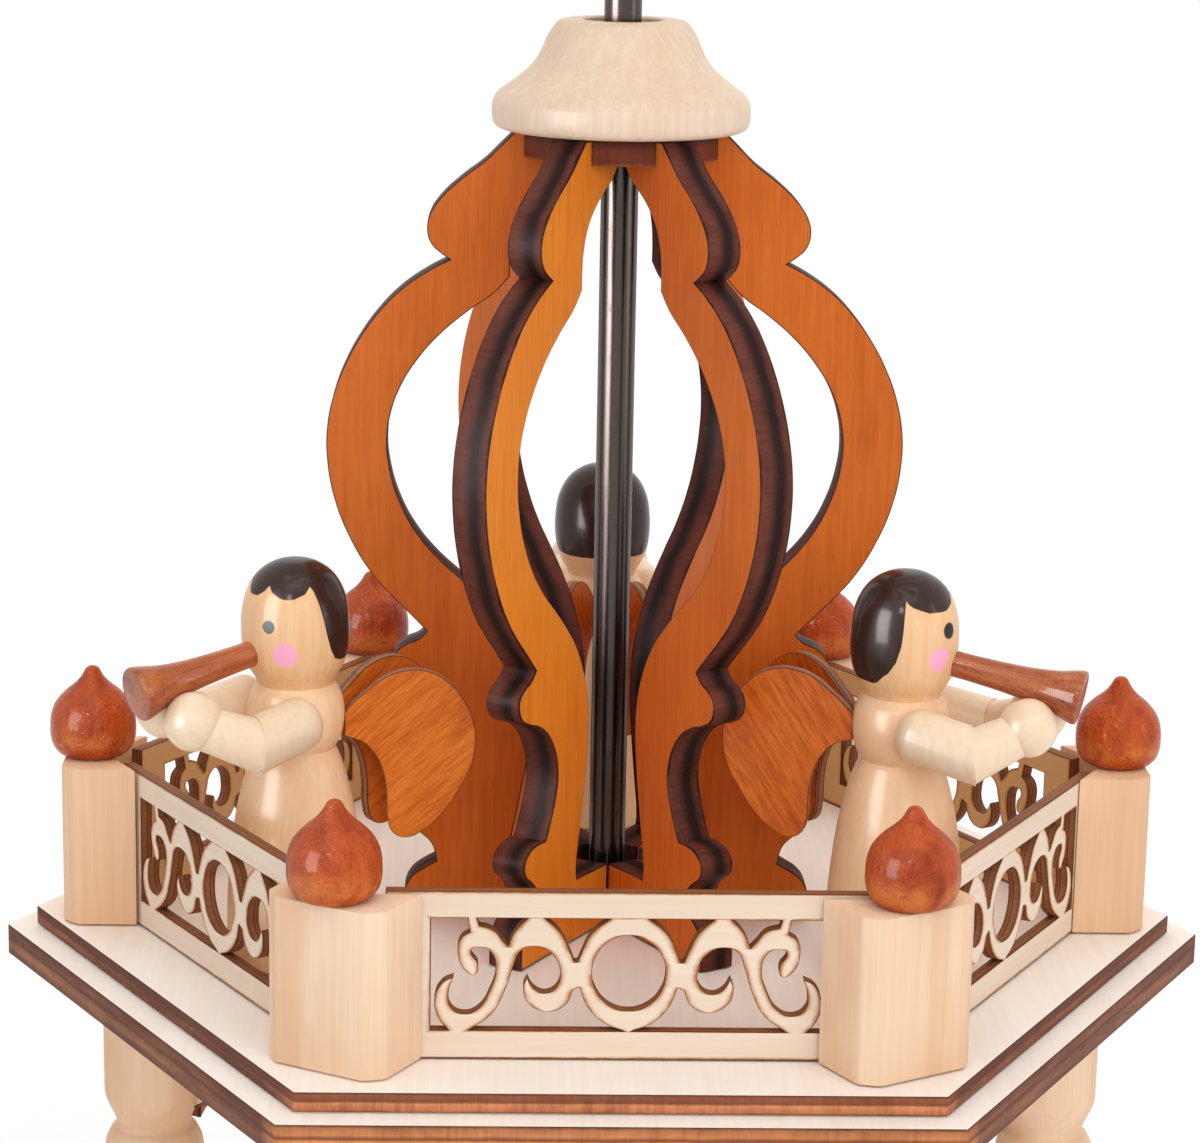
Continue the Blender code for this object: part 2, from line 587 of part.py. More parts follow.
ANGEL_SEGMENTS = 12
angel_body = turned("angel", angel_line, ANGEL_SEGMENTS)
parts = []
for side in (1, -1):
    shoulder = joint(4.2, side * 8.1, 41.0)
    elbow = joint(12.6, side * 8.8, 38.4)
    hand = joint(20.8, side * 4.5, 42.9)
    parts.append(limb(shoulder, 4.5 * across, elbow, 4.7 * across))
    parts.append(limb(elbow, 4.3 * across, hand, 3.6 * across))
    parts.append(limb(hand, 4.55 * across, hand, 4.55 * across))
mouth = Vector(joint(6.0, 0, 51.4))
horn_way = Vector((math.cos(HORN_DROOP), 0, -math.sin(HORN_DROOP)))
horn_length = (HORN_REACH - mouth.x) / horn_way.x
horn = [
    (0, 0), (1.6 * MM, 0), (2.5 * MM, horn_length * 0.7),
    (3.3 * MM, horn_length * 0.88), (4.25 * MM, horn_length), (0, horn_length),
]
horn_mesh = moved(turned("horn", horn, 8), along(mouth, mouth + horn_way))
parts.append(horn_mesh)
angel_mesh = combined(angel_body, parts, "UNION")

# Wings: sawn from ply, drawn from the back outwards and up from the deck
WING = [
    (0.0, 35.9, "c"), (3.0, 35.0, "s"), (5.6, 31.5, "s"), (6.7, 26.5, "s"), (7.0, 21.4, "s"),
    (9.2, 19.0, "s"), (12.8, 20.2, "s"), (17.8, 26.0, "s"), (20.7, 33.0, "s"), (19.6, 40.6, "s"),
    (15.2, 45.6, "s"), (9.6, 46.6, "s"), (3.5, 43.3, "s"), (0.0, 39.8, "c"),
]
wing_line = [(x * across, y * rise, kind) for x, y, kind in WING]
wing_mesh = upright(sawn("wing", [wing_line], WING_BOARD))
back_slope = math.pi / ANGEL_SEGMENTS
back = 0.705 * ANGEL_RADIUS + CLEAR / math.cos(back_slope)
for label, faces, bay, outward, aside, left_open, right_open in ANGELS:
    turn = Matrix.Rotation(math.radians(faces), 3, "Z")
    spot = Matrix.Rotation(math.radians(bay), 3, "Z") @ Vector((outward, aside, 0)) * RAILING_APOTHEM
    spot.z = FLOOR
    place(f"angel_{label}", angel_mesh, figure_wood, spot, math.radians(faces), True)
    for hand_name, hand, opening in (("left", 1, left_open), ("right", -1, right_open)):
        lead = WING_BOARD / 2 * math.sin(math.radians(opening))
        spread = WING_BOARD / 2 * math.cos(math.radians(opening))
        outer_corner = (WING_OFFSET + spread) * math.tan(back_slope) - lead
        inner_corner = (WING_OFFSET - spread) * math.tan(back_slope) + lead
        seat = min(outer_corner, inner_corner) - back
        root = spot + turn @ Vector((seat, hand * WING_OFFSET, 0))
        place(f"wing_{label}_{hand_name}", wing_mesh, wing_stain, root,
              math.radians(faces + 180 - hand * opening))

# Shaft: a steel rod with a ground point
shaft = [
    (0, SHAFT_BOTTOM), (SHAFT_RADIUS, SHAFT_BOTTOM + SHAFT_POINT),
    (SHAFT_RADIUS, SHAFT_TOP - 0.5 * MM), (SHAFT_RADIUS - 0.5 * MM, SHAFT_TOP), (0, SHAFT_TOP),
]
place("shaft", turned("shaft", shaft, 16), steel, (0, 0, 0), 0, True)

# Turntable: a disc on a boss, pressed on the shaft above the base
disc_low = TURNTABLE_LIFT + STEP_TOP
disc_top = disc_low + TURNTABLE_THICKNESS
table = [
    (SHAFT_BORE, disc_low - TURNTABLE_BOSS_HEIGHT),
    (TURNTABLE_BOSS_RADIUS * 0.8, disc_low - TURNTABLE_BOSS_HEIGHT),
    (TURNTABLE_BOSS_RADIUS, disc_low),
    (TURNTABLE_RADIUS - 0.8 * MM, disc_low),
    (TURNTABLE_RADIUS, disc_low + 0.8 * MM),
    (TURNTABLE_RADIUS, disc_top - 0.8 * MM),
    (TURNTABLE_RADIUS - 0.8 * MM, disc_top),
    (SHAFT_BORE, disc_top),
]
place("turntable", turned("turntable", table, 24, True), ply, (0, 0, 0), 0, True)

# Hub: turned, with a blind bore for the shaft and a hole for each blade's peg
hub_line = [
    (0, HUB_BORE_TOP), (SHAFT_BORE, HUB_BORE_TOP), (SHAFT_BORE, HUB_BOTTOM),
    (HUB_RADIUS * 0.66, HUB_BOTTOM), (HUB_RADIUS * 0.92, HUB_BOTTOM + HUB_HEIGHT * 0.12),
    (HUB_RADIUS, HUB_BOTTOM + HUB_HEIGHT * 0.27), (HUB_RADIUS, HUB_BOTTOM + HUB_HEIGHT * 0.73),
    (HUB_RADIUS * 0.90, HUB_BOTTOM + HUB_HEIGHT * 0.86), (HUB_RADIUS * 0.52, HUB_BOTTOM + HUB_HEIGHT),
    (0, HUB_BOTTOM + HUB_HEIGHT),
]
peg_inner = HUB_RADIUS - PEG_DEPTH
holes = []
for i in range(BLADE_COUNT):
    hole = extruded("hole", circle(PEG_RADIUS + CLEAR, 8), peg_inner - CLEAR, HUB_RADIUS + 5 * MM)
    hole = moved(hole, Matrix.Rotation(math.radians(90), 4, "Y"))
    holes.append(moved(hole, Matrix.Rotation(i * math.tau / BLADE_COUNT, 4, "Z")
                       @ Matrix.Translation((0, 0, PEG_LEVEL))))
hub_mesh = combined(turned("rotor_hub", hub_line, 16), holes, "DIFFERENCE")
place("rotor_hub", hub_mesh, pale_wood, (0, 0, 0), 0, True)

# Blades: thin paddles let into round pegs, which turn in the hub to set the pitch
blade_line = [
    (BLADE_ROOT, -BLADE_ROOT_WIDTH / 2, "c"), (BLADE_TIP - 7 * MM, -BLADE_TIP_WIDTH / 2, "c"),
    (BLADE_TIP - 1.5 * MM, -BLADE_TIP_WIDTH * 0.40, "s"), (BLADE_TIP, 0, "s"),
    (BLADE_TIP - 1.5 * MM, BLADE_TIP_WIDTH * 0.40, "s"), (BLADE_TIP - 7 * MM, BLADE_TIP_WIDTH / 2, "c"),
    (BLADE_ROOT, BLADE_ROOT_WIDTH / 2, "c"),
]
paddle = sawn("blade", [blade_line], BLADE_BOARD)
peg = extruded("peg", circle(PEG_RADIUS, 8), peg_inner, PEG_END)
peg = moved(peg, Matrix.Rotation(math.radians(90), 4, "Y"))
blade_mesh = moved(combined(paddle, [peg], "UNION"), Matrix.Rotation(BLADE_PITCH, 4, "X"))
for i in range(BLADE_COUNT):
    place(f"blade_{i + 1}", blade_mesh, ply, (0, 0, PEG_LEVEL), i * math.tau / BLADE_COUNT)
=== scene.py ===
# %% [markdown]
# # Dressing a candle pyramid
# A candle pyramid is a small wooden tower. Warm air from candles on its base turns the
# fan on top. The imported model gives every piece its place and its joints. This lesson
# builds a finer skin over it: sawn boards with scorched edges, turned wood, glossy stain
# and painted angels. Sizes and places of pieces are in millimetres, and MM turns them
# into the scene's metres. Grain and lamps are given in metres. Whatever is glued on the
# deck stands on a film of glue, so FLOOR lies that much above it.

# %% Load the frame
import math

import bmesh
import bpy
import numpy as np
from mathutils import Matrix, Vector, geometry


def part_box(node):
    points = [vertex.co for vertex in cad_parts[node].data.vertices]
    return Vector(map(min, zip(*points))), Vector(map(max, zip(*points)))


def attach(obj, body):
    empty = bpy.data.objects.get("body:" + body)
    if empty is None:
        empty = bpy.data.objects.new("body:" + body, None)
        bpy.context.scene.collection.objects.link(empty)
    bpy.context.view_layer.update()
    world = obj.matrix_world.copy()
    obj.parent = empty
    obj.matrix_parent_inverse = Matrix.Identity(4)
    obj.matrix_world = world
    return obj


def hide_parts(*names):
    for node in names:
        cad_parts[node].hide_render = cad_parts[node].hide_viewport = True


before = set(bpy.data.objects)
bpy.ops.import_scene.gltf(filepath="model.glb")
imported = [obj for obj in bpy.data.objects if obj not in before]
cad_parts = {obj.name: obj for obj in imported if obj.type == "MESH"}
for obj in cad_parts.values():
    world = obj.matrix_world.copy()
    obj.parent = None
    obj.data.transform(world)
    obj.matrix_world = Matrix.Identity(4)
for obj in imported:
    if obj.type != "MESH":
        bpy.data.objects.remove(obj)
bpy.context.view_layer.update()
MM = 0.001
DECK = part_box("deck_upper")[1].z / MM
GLUE = 0.3
FLOOR = DECK + GLUE

# %% [markdown]
# ## Shader sums as plain Python
# A grain pattern is a sum of stretched noises. The class below wraps a socket, so that
# `pale + grain * 0.2` adds the Math nodes by itself and each finish reads like a recipe.

# %% A value in a shader
class Shade:
    """A socket whose Python operators add the nodes that work them out."""

    def __init__(self, tree, socket=None):
        self.tree = tree
        self.socket = socket

    def node(self, kind, settings, sockets, output=0):
        """Add a node: its settings first, then the values or links of its sockets."""
        made = self.tree.nodes.new(kind)
        for name, value in settings.items():
            if name == "stops":
                ramp = made.color_ramp
                while len(ramp.elements) < len(value):
                    ramp.elements.new(1.0)
                for element, (place, colour) in zip(ramp.elements, value):
                    element.position = place
                    element.color = as_colour(colour if isinstance(colour, tuple) else (colour,) * 3)
            else:
                setattr(made, name, value)
        for key, value in sockets.items():
            if isinstance(key, int):
                socket = made.inputs[key]
            else:
                socket = next(s for s in made.inputs if s.name == key and s.enabled)
            if isinstance(value, Shade):
                self.tree.links.new(value.socket, socket)
            else:
                socket.default_value = value
        return Shade(self.tree, [s for s in made.outputs if s.enabled][output])

    def math(self, operation, first, second=0.0, clamp=False):
        settings = {"operation": operation, "use_clamp": clamp}
        return self.node("ShaderNodeMath", settings, {0: first, 1: second})

    def __add__(self, other):
        return self.math("ADD", self, other)

    def __sub__(self, other):
        return self.math("SUBTRACT", self, other)

    def __mul__(self, other):
        return self.math("MULTIPLY", self, other)

    def __truediv__(self, other):
        return self.math("DIVIDE", self, other)

    def __rsub__(self, other):
        return self.math("SUBTRACT", other, self)

    __radd__ = __add__
    __rmul__ = __mul__

    def size(self):
        return self.math("ABSOLUTE", self)

    def clamped(self):
        return self.math("ADD", self, 0.0, True)

    def between(self, low, high):
        """0 below low, 1 above high, and a soft step between them."""
        sockets = {"Value": self, "From Min": low, "From Max": high}
        return self.node("ShaderNodeMapRange", {"interpolation_type": "SMOOTHSTEP"}, sockets)

    def stretched(self, x, y, z):
        return self.node("ShaderNodeVectorMath", {"operation": "MULTIPLY"}, {0: self, 1: (x, y, z)})

    def away_from(self, x, y, z):
        """How far this point lies from another."""
        return self.node("ShaderNodeVectorMath", {"operation": "DISTANCE"}, {0: self, 1: (x, y, z)})

    def axis(self, index):
        return self.node("ShaderNodeSeparateXYZ", {}, {0: self}, index)

    def noise(self, scale=1.0, detail=3.0, roughness=0.6, distortion=0.0):
        sockets = {"Vector": self, "Scale": scale, "Detail": detail, "Roughness": roughness}
        return self.node("ShaderNodeTexNoise", {}, {**sockets, "Distortion": distortion})

    def turned_in_board(self, turn):
        """The same coordinates, turned in the board's own plane."""
        return self.node("ShaderNodeMapping", {}, {"Vector": self, "Rotation": (0, turn, 0)})

    def blend(self, first, second):
        """This value mixes from the first colour to the second."""
        sockets = {"Factor": self, "A": as_colour(first), "B": as_colour(second)}
        return self.node("ShaderNodeMix", {"data_type": "RGBA"}, sockets)

    def ramp(self, stops):
        return self.node("ShaderNodeValToRGB", {"stops": stops}, {0: self})

    def bump(self, strength, distance):
        sockets = {"Strength": strength, "Distance": distance, "Height": self}
        return self.node("ShaderNodeBump", {}, sockets)


def as_colour(value):
    return (*value, 1.0) if isinstance(value, tuple) and len(value) == 3 else value


def darker(colour, share):
    return tuple(part * share for part in colour)


# %% Start a finish
def finish(name, roughness=0.5, metallic=0.0, coat=0.0, coat_roughness=0.1, specular=0.22):
    """A new material, its shader and the piece's own coordinates."""
    material = bpy.data.materials.new(name)
    material.use_nodes = True
    shader = material.node_tree.nodes["Principled BSDF"]
    values = {"Roughness": roughness, "Metallic": metallic, "Coat Weight": coat,
              "Coat Roughness": coat_roughness, "Specular IOR Level": specular}
    for socket, value in values.items():
        shader.inputs[socket].default_value = value
    own = Shade(material.node_tree).node("ShaderNodeAttribute", {"attribute_name": "own"}, {}, 1)
    return material, shader, own


def wire(shader, **values):
    """Link values into the shader's sockets, named with underscores for spaces."""
    for name, value in values.items():
        shader.id_data.links.new(value.socket, shader.inputs[name.replace("_", " ")])


# %% [markdown]
# ## Wood
# Every piece carries its own coordinates in an attribute called `own`. They are taken
# while the piece is still upright on the bench, so that the grain follows the board and
# not the room. X runs along the board, Y through it and Z up the grain, in metres.
# Grain is noise squeezed hard across and hardly along.

# %% Grain
def grain(own, fine=900.0, long=28.0, drift=0.35):
    """Fine fibres with broad bands behind them, as a value round 0.5."""
    fibres = own.stretched(fine, fine, long).noise(1.0, 4.0, 0.62, 0.2)
    bands = own.stretched(fine / 9, fine / 9, long / 7).noise(1.0, 3.0, 0.5, 0.6)
    return fibres * (1 - drift) + bands * drift


def clouds(own, across, along, rough=0.55):
    """Broad soft patches, drawn out along the grain."""
    return own.stretched(across, across, along).noise(1.0, 3.0, rough)


def flecks(own, across, along, low, high):
    """Short dark pores, few and far between."""
    return own.stretched(across, across, along).noise(1.0, 2.0, 0.5).between(low, high)


# %% Pale wood, planed or turned
def pale_wood(name, light, dark, warm, roughness, coat, streak=0.5, band=0.0):
    """Fine lines between light and dark, with warm clouds and perhaps bands of heartwood."""
    material, shader, own = finish(name, roughness, coat=coat, coat_roughness=0.22)
    lines = grain(own, 1100.0, 30.0, 0.18)
    cloud = clouds(own, 70, 22)
    tone = lines.between(0.36, 0.66).blend(dark, light)
    tone = (cloud.between(0.42, 0.7) * streak).blend(tone, warm)
    if band:
        heart = own.stretched(40, 170, 4).noise(1.0, 1.0, 0.4).between(0.47, 0.58)
        tone = (heart * band).blend(tone, darker(warm, 0.95))
    pores = flecks(own, 2600.0, 210.0, 0.69, 0.78) * 0.22
    tone = pores.blend(tone, darker(dark, 0.62))
    rub = (lines * 0.18 + cloud * 0.12 + (roughness - 0.14)).clamped()
    wire(shader, Base_Color=tone, Roughness=rub, Normal=(lines - pores * 0.6).bump(0.22, 0.00012))
    return material


LIME = pale_wood("turned limewood", (0.82, 0.66, 0.52), (0.77, 0.58, 0.43), (0.74, 0.52, 0.37),
                 0.46, 0.1)
POST_WOOD = pale_wood("planed limewood", (0.85, 0.63, 0.45), (0.81, 0.57, 0.385), (0.74, 0.46, 0.275),
                      0.6, 0, 0.75, 0.4)
# Painted shade: a darker, warmer copy of planed limewood for the posts at the left and right sides,
# whose faces turn away from the light.
POST_SHADED_COPY = pale_wood("shaded copy of planed limewood", (0.82, 0.55, 0.35), (0.77, 0.48, 0.29), (0.7, 0.39, 0.21),
                     0.6, 0, 0.75, 0.4)
SKIRT_WOOD = pale_wood("lacquered limewood", (0.96, 0.69, 0.44), (0.92, 0.61, 0.36), (0.87, 0.53, 0.29),
                       0.42, 0.3)
ARM_WOOD = pale_wood("bleached limewood", (0.88, 0.71, 0.52), (0.84, 0.64, 0.44), (0.8, 0.57, 0.36),
                     0.42, 0.3)
print("pale woods made")

# %% [markdown]
# ## Plywood faces and scorched edges
# The deck and the railing are cut by heat from thin plywood. The faces stay pale but for
# a brown halo along the cut, which the saw below marks as `scorch`: 1 at the rim and 0
# a little way in. The cut wall itself is burnt, orange in the plies that lie along it
# and nearly black in the glue lines. Y runs through the board, so the plies are a ramp
# over Y, and the heat leaves fine streaks across the wall. Round the deck's left and
# right flanks the wall is darkened further, mottled like char: painted shade on the
# walls that turn away to the sides.

# %% Plywood face
def scorch_halo(own, strength):
    """The brown haze along a cut, broken up by noise."""
    halo = own.node("ShaderNodeAttribute", {"attribute_name": "scorch"}, {}, 2)
    patch = own.noise(420.0)
    return (halo * halo * (patch * 2.6 - 0.3) * strength).clamped()


def ply_face(name, light, dark, back=None, halo=0.0, turn=0.0):
    """Plywood with its grain up the board, or turned in its plane. The back may be darker."""
    material, shader, own = finish(name, 0.62)
    if turn:
        own = own.turned_in_board(turn)
    lines = grain(own, 800.0, 24.0)
    cloud = clouds(own, 45, 16)
    tone = lines.between(0.34, 0.68).blend(dark, light)
    tone = (cloud.between(0.4, 0.75) * 0.4).blend(tone, darker(dark, 0.95))
    if back:
        tone = own.axis(1).between(0.0, 0.0004).blend(tone, back)
    pores = flecks(own, 2200.0, 160.0, 0.7, 0.8) * 0.22
    tone = pores.blend(tone, darker(dark, 0.6))
    tone = scorch_halo(own, halo).blend(tone, (0.46, 0.19, 0.06))
    wire(shader, Base_Color=tone, Normal=(lines - pores).bump(0.2, 0.0001))
    return material


# %% Scorched edge
def scorched_edge(name, plies, thickness, soot, sooty=0.6, wander=0.1, side_shade_from=None):
    """The wall of a heat cut. Plies are (place, colour) from one face at 0 to the other at 1.

    Where the wall lies further aside than the given distance, it is darkened as painted shade, mottled
    like char.
    """
    material, shader, own = finish(name, 0.5, specular=0.08)
    drift = own.stretched(150, 0, 150).noise() - 0.5
    tone = (own.axis(1) / thickness + 0.5 + drift * wander).ramp(plies)
    streaks = own.stretched(1500, 120, 1500).noise()
    smear = own.stretched(190, 330, 190).noise()
    burnt = ((streaks - 0.35) * 1.3 + (smear - 0.45) * 1.4).clamped() * sooty
    tone = burnt.blend(tone, soot)
    # Painted shade: walls that turn to the left and right are darkened, mottled like char.
    if side_shade_from:
        across = own.node("ShaderNodeTexCoord", {}, {}, 3).axis(0)
        beyond = ((across.size() - side_shade_from) * 400.0).clamped()
        side_shade = own.stretched(45, 420, 45).noise().between(0.25, 0.7) * 0.35 + 0.58
        tone = (beyond * side_shade).blend(tone, (0.1, 0.036, 0.026))
    wire(shader, Base_Color=tone, Normal=(streaks - burnt).bump(0.45, 0.0002))
    return material


DECK_FACE = ply_face("deck plywood", (0.93, 0.86, 0.79), (0.89, 0.79, 0.7))
BLADE_FACE = ply_face("blade plywood", (0.81, 0.7, 0.57), (0.75, 0.62, 0.48))
THICK_PLIES = [
    (0.0, (0.1, 0.03, 0.014)), (0.08, (0.47, 0.17, 0.07)), (0.32, (0.76, 0.33, 0.14)),
    (0.5, (0.7, 0.28, 0.11)), (0.58, (0.22, 0.065, 0.03)), (0.7, (0.62, 0.235, 0.09)),
    (0.9, (0.46, 0.18, 0.075)), (1.0, (0.09, 0.027, 0.013))]
THIN_PLIES = [
    (0.0, (0.1, 0.03, 0.016)), (0.1, (0.56, 0.2, 0.09)), (0.45, (0.7, 0.28, 0.13)),
    (0.55, (0.24, 0.08, 0.038)), (0.88, (0.3, 0.105, 0.05)), (1.0, (0.08, 0.025, 0.013))]
SOOT = (0.12, 0.038, 0.018)
DECK_EDGE = scorched_edge("deck edge", THICK_PLIES, 5 * MM, SOOT, 0.7, side_shade_from=50 * MM)
BASE_EDGE = scorched_edge("base edge", THICK_PLIES, 5 * MM, SOOT, 0.7)
PLATE_EDGE = scorched_edge("plate edge", THIN_PLIES, 3 * MM, SOOT, 0.8, side_shade_from=47.5 * MM)
BLADE_EDGE = scorched_edge("blade edge", THIN_PLIES, 3 * MM, SOOT, 0.8)
PANEL_FACE = ply_face("railing plywood", (0.82, 0.69, 0.57), (0.77, 0.61, 0.47),
                      back=(0.7, 0.44, 0.2), halo=1.25, turn=math.radians(90))
PANEL_EDGE = scorched_edge("railing edge", [
    (0.0, (0.1, 0.035, 0.016)), (0.14, (0.26, 0.1, 0.04)), (0.48, (0.32, 0.125, 0.05)),
    (0.56, (0.1, 0.035, 0.016)), (0.66, (0.32, 0.125, 0.05)), (0.9, (0.22, 0.08, 0.03)),
    (1.0, (0.08, 0.028, 0.013))], 2 * MM, (0.11, 0.033, 0.015))
print("plywoods made")

# %% [markdown]
# ## Stain
# The dome's ribs and the wings are stained orange-brown: the stain sinks in unevenly, so
# short fibres show darker. The finials and horns carry a thicker, glossy coat, darker
# where it has pooled and lighter where the ball's end grain was sanded.

# %% Stained board
def stained_board(name, light, mid, dark, turn=0.0, contrast=0.6, halo=0.6, fine=1.0):
    """Stain over fine fibres. The grain may be turned in the board's plane, and finer."""
    material, shader, own = finish(name, 0.48, specular=0.13)
    if turn:
        own = own.turned_in_board(turn)
    lines = grain(own, 1500.0 * fine, 75.0 * fine ** 2, 0.22 / fine ** 2)
    cloud = clouds(own, 75, 40, 0.6)
    depth = (lines - 0.5) * contrast + (cloud - 0.5) * 0.3 + 0.5
    tone = depth.ramp([(0.36, dark), (0.5, mid), (0.64, light)])
    pores = flecks(own, 2600.0, 260.0, 0.64, 0.76) * 0.35
    tone = pores.blend(tone, darker(dark, 0.5))
    tone = scorch_halo(own, halo).blend(tone, (0.16, 0.045, 0.02))
    wire(shader, Base_Color=tone, Normal=(lines - pores).bump(0.3, 0.00012))
    return material


RIB_FACE = stained_board("stained rib", (0.7, 0.18, 0.025), (0.63, 0.148, 0.018), (0.53, 0.11, 0.012))
# Painted light: a lighter, yellower copy of the rib stain, for the rib whose face turns to the front
# lamp.
RIB_LIT_COPY = stained_board("lit copy of stained rib", (0.8, 0.27, 0.026), (0.74, 0.23, 0.018), (0.64, 0.17, 0.012))
WING_FACE = stained_board("stained wing", (0.8, 0.26, 0.04), (0.68, 0.175, 0.02),
                          (0.5, 0.105, 0.012), -0.85, 0.7, 0.15, 1.7)
WING_DEEP = stained_board("deep stained wing", (0.72, 0.185, 0.022), (0.58, 0.125, 0.012),
                          (0.42, 0.075, 0.008), -0.6, 0.8, 0.15, 1.7)
RIB_EDGE = scorched_edge("rib edge", [
    (0.0, (0.03, 0.01, 0.008)), (0.06, (0.16, 0.045, 0.03)), (0.3, (0.145, 0.041, 0.028)),
    (0.44, (0.075, 0.024, 0.018)), (0.54, (0.026, 0.011, 0.009)), (0.7, (0.022, 0.009, 0.008)),
    (0.82, (0.1, 0.03, 0.021)), (0.93, (0.14, 0.04, 0.027)), (1.0, (0.02, 0.008, 0.007))],
    6 * MM, (0.018, 0.009, 0.008), 0.7, 0.26)
WING_EDGE = scorched_edge("wing edge", [
    (0.0, (0.12, 0.04, 0.02)), (0.15, (0.42, 0.19, 0.1)), (0.5, (0.5, 0.26, 0.16)),
    (0.62, (0.2, 0.07, 0.035)), (0.85, (0.4, 0.17, 0.09)), (1.0, (0.1, 0.03, 0.015))],
    2 * MM, (0.1, 0.03, 0.015))
COLLAR_STAIN = scorched_edge("collar stain", [
    (0.0, (0.3, 0.095, 0.045)), (0.12, (0.17, 0.038, 0.018)), (0.6, (0.19, 0.044, 0.02)),
    (1.0, (0.05, 0.014, 0.008))], 4 * MM, (0.035, 0.01, 0.007))


# %% Glossy stain
def glossy_stain(name, light, mid, dark, sanded, bare, streaky=0.6, coat=0.18):
    """Stain under lacquer. It thins to the bare tone at the height where a ball was sanded."""
    material, shader, own = finish(name, 0.27, coat=coat, coat_roughness=0.12, specular=0.11)
    lines = grain(own, 700.0, 60.0, 0.4)
    cloud = own.stretched(240, 240, 240).noise(1.0, 4.0, 0.6)
    tone = (lines * streaky + cloud * (1 - streaky)).ramp([(0.34, dark), (0.5, mid), (0.68, light)])
    thin = (1 - (own.axis(2) - sanded).size().between(0.0, 3.4 * MM)) * cloud.between(0.36, 0.62)
    tone = (thin * 0.6).blend(tone, bare)
    orange_peel = own.noise(1500.0, 2.0, 0.6)
    wire(shader, Base_Color=tone, Normal=(orange_peel + lines * 0.6).bump(1.0, 0.0006))
    return material


NOWHERE = -1.0
FINIAL_STAIN = glossy_stain("finial stain", (0.6, 0.12, 0.016), (0.46, 0.066, 0.008),
                            (0.26, 0.03, 0.004), 2.6 * MM, (0.7, 0.21, 0.045))
HORN_STAIN = glossy_stain("horn stain", (0.64, 0.22, 0.07), (0.43, 0.105, 0.032),
                          (0.17, 0.036, 0.012), NOWHERE, (0.6, 0.2, 0.06), 0.85, 0.45)
print("stains made")

# %% [markdown]
# ## Metal
# The shaft is bright drawn rod: fine lines run along it, and reflections stretch
# across it. Its colour is kept far darker than bare steel: a painted dark reflection
# standing in for dim surroundings. The bearing is turned brass, lined round the axis.

# %% Rod and brass
def drawn_metal(name, colour, dull, along, around, roughness):
    """Bare metal, lined along its axis where `around` is the finer count, else round it."""
    material, shader, own = finish(name, roughness, metallic=1.0)
    lines = own.stretched(around, around, along).noise(1.0, 4.0, 0.6)
    spots = clouds(own, 420, 180, 0.6).between(0.55, 0.8)
    tone = (lines * 0.6 + spots * 0.4).blend(colour, dull)
    rub = (lines * 0.12 + spots * 0.1 + (roughness - 0.07)).clamped()
    wire(shader, Base_Color=tone, Roughness=rub, Normal=lines.bump(0.12, 0.00004))
    return material


# Painted dark reflection: the steel's colour lies far below bare steel, standing in for dim surroundings
# mirrored in it.
DIMMED_ROD_STEEL = drawn_metal("drawn steel with painted dark reflection", (0.105, 0.085, 0.078), (0.06, 0.046, 0.041), 10.0, 5200.0, 0.24)
BRASS = drawn_metal("turned brass", (0.8, 0.58, 0.24), (0.55, 0.36, 0.12), 3000.0, 12.0, 0.28)

# %% [markdown]
# ## From bench to place
# A piece is made upright at the bench with its own coordinates, then carried to its
# place inside its mesh. The helper below marks the coordinates, moves the mesh, smooths
# it, tells the frame which body it rides on, and hides the imported part it stands for.
# The seed picks another stretch of wood for each piece, so that no two have the same grain.

# %% Settle a piece
MERGE = 0.002 * MM
NEXT_WOOD = (0.37, 0.0, 0.61)
made = {}


def add_object(name, data):
    thing = bpy.data.objects.new(name, data)
    bpy.context.scene.collection.objects.link(thing)
    return thing


def settle(name, bm, place, node, finishes, seed=0.0, body="stand", sharp=32.0):
    """Mark a bench-made mesh with its own coordinates and put it in its place."""
    bmesh.ops.remove_doubles(bm, verts=bm.verts, dist=MERGE)
    bmesh.ops.recalc_face_normals(bm, faces=bm.faces)
    mesh = bpy.data.meshes.new(name)
    bm.to_mesh(mesh)
    bm.free()
    coords = np.empty(len(mesh.vertices) * 3, np.float32)
    mesh.vertices.foreach_get("co", coords)
    coords = coords.reshape(-1, 3) + np.float32([seed * step for step in NEXT_WOOD])
    own = mesh.attributes.new("own", "FLOAT_VECTOR", "POINT")
    own.data.foreach_set("vector", coords.ravel())
    mesh.transform(place)
    mesh.shade_smooth()
    mesh.set_sharp_from_angle(angle=math.radians(sharp))
    for material in finishes:
        mesh.materials.append(material)
    piece = add_object(name, mesh)
    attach(piece, body)
    if node:
        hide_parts(node)
    made[name] = len(mesh.polygons)


def turned_by(degrees, axis="Z"):
    return Matrix.Rotation(math.radians(degrees), 4, axis)


def shift(x, y, z):
    return Matrix.Translation((x * MM, y * MM, z * MM))


def foot(node):
    """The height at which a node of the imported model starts."""
    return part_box(node)[0].z / MM


# %% [markdown]
# ## The saw
# A fretsaw line is corners joined by smooth bends. A flat Bezier curve holds exactly
# that: vector handles at corners, which are marked "c" in the lists, and automatic ones
# between. Filled and extruded, with a hair of bevel, it is a board whose cut-outs come
# free. The edges that cross each face are split a little way in from the cut and joined
# up, so that a narrow rim is left there and marked for the scorch halo.

# %% Saw a board
WIDEST_RIM = 0.42
FACE_ON = 0.95


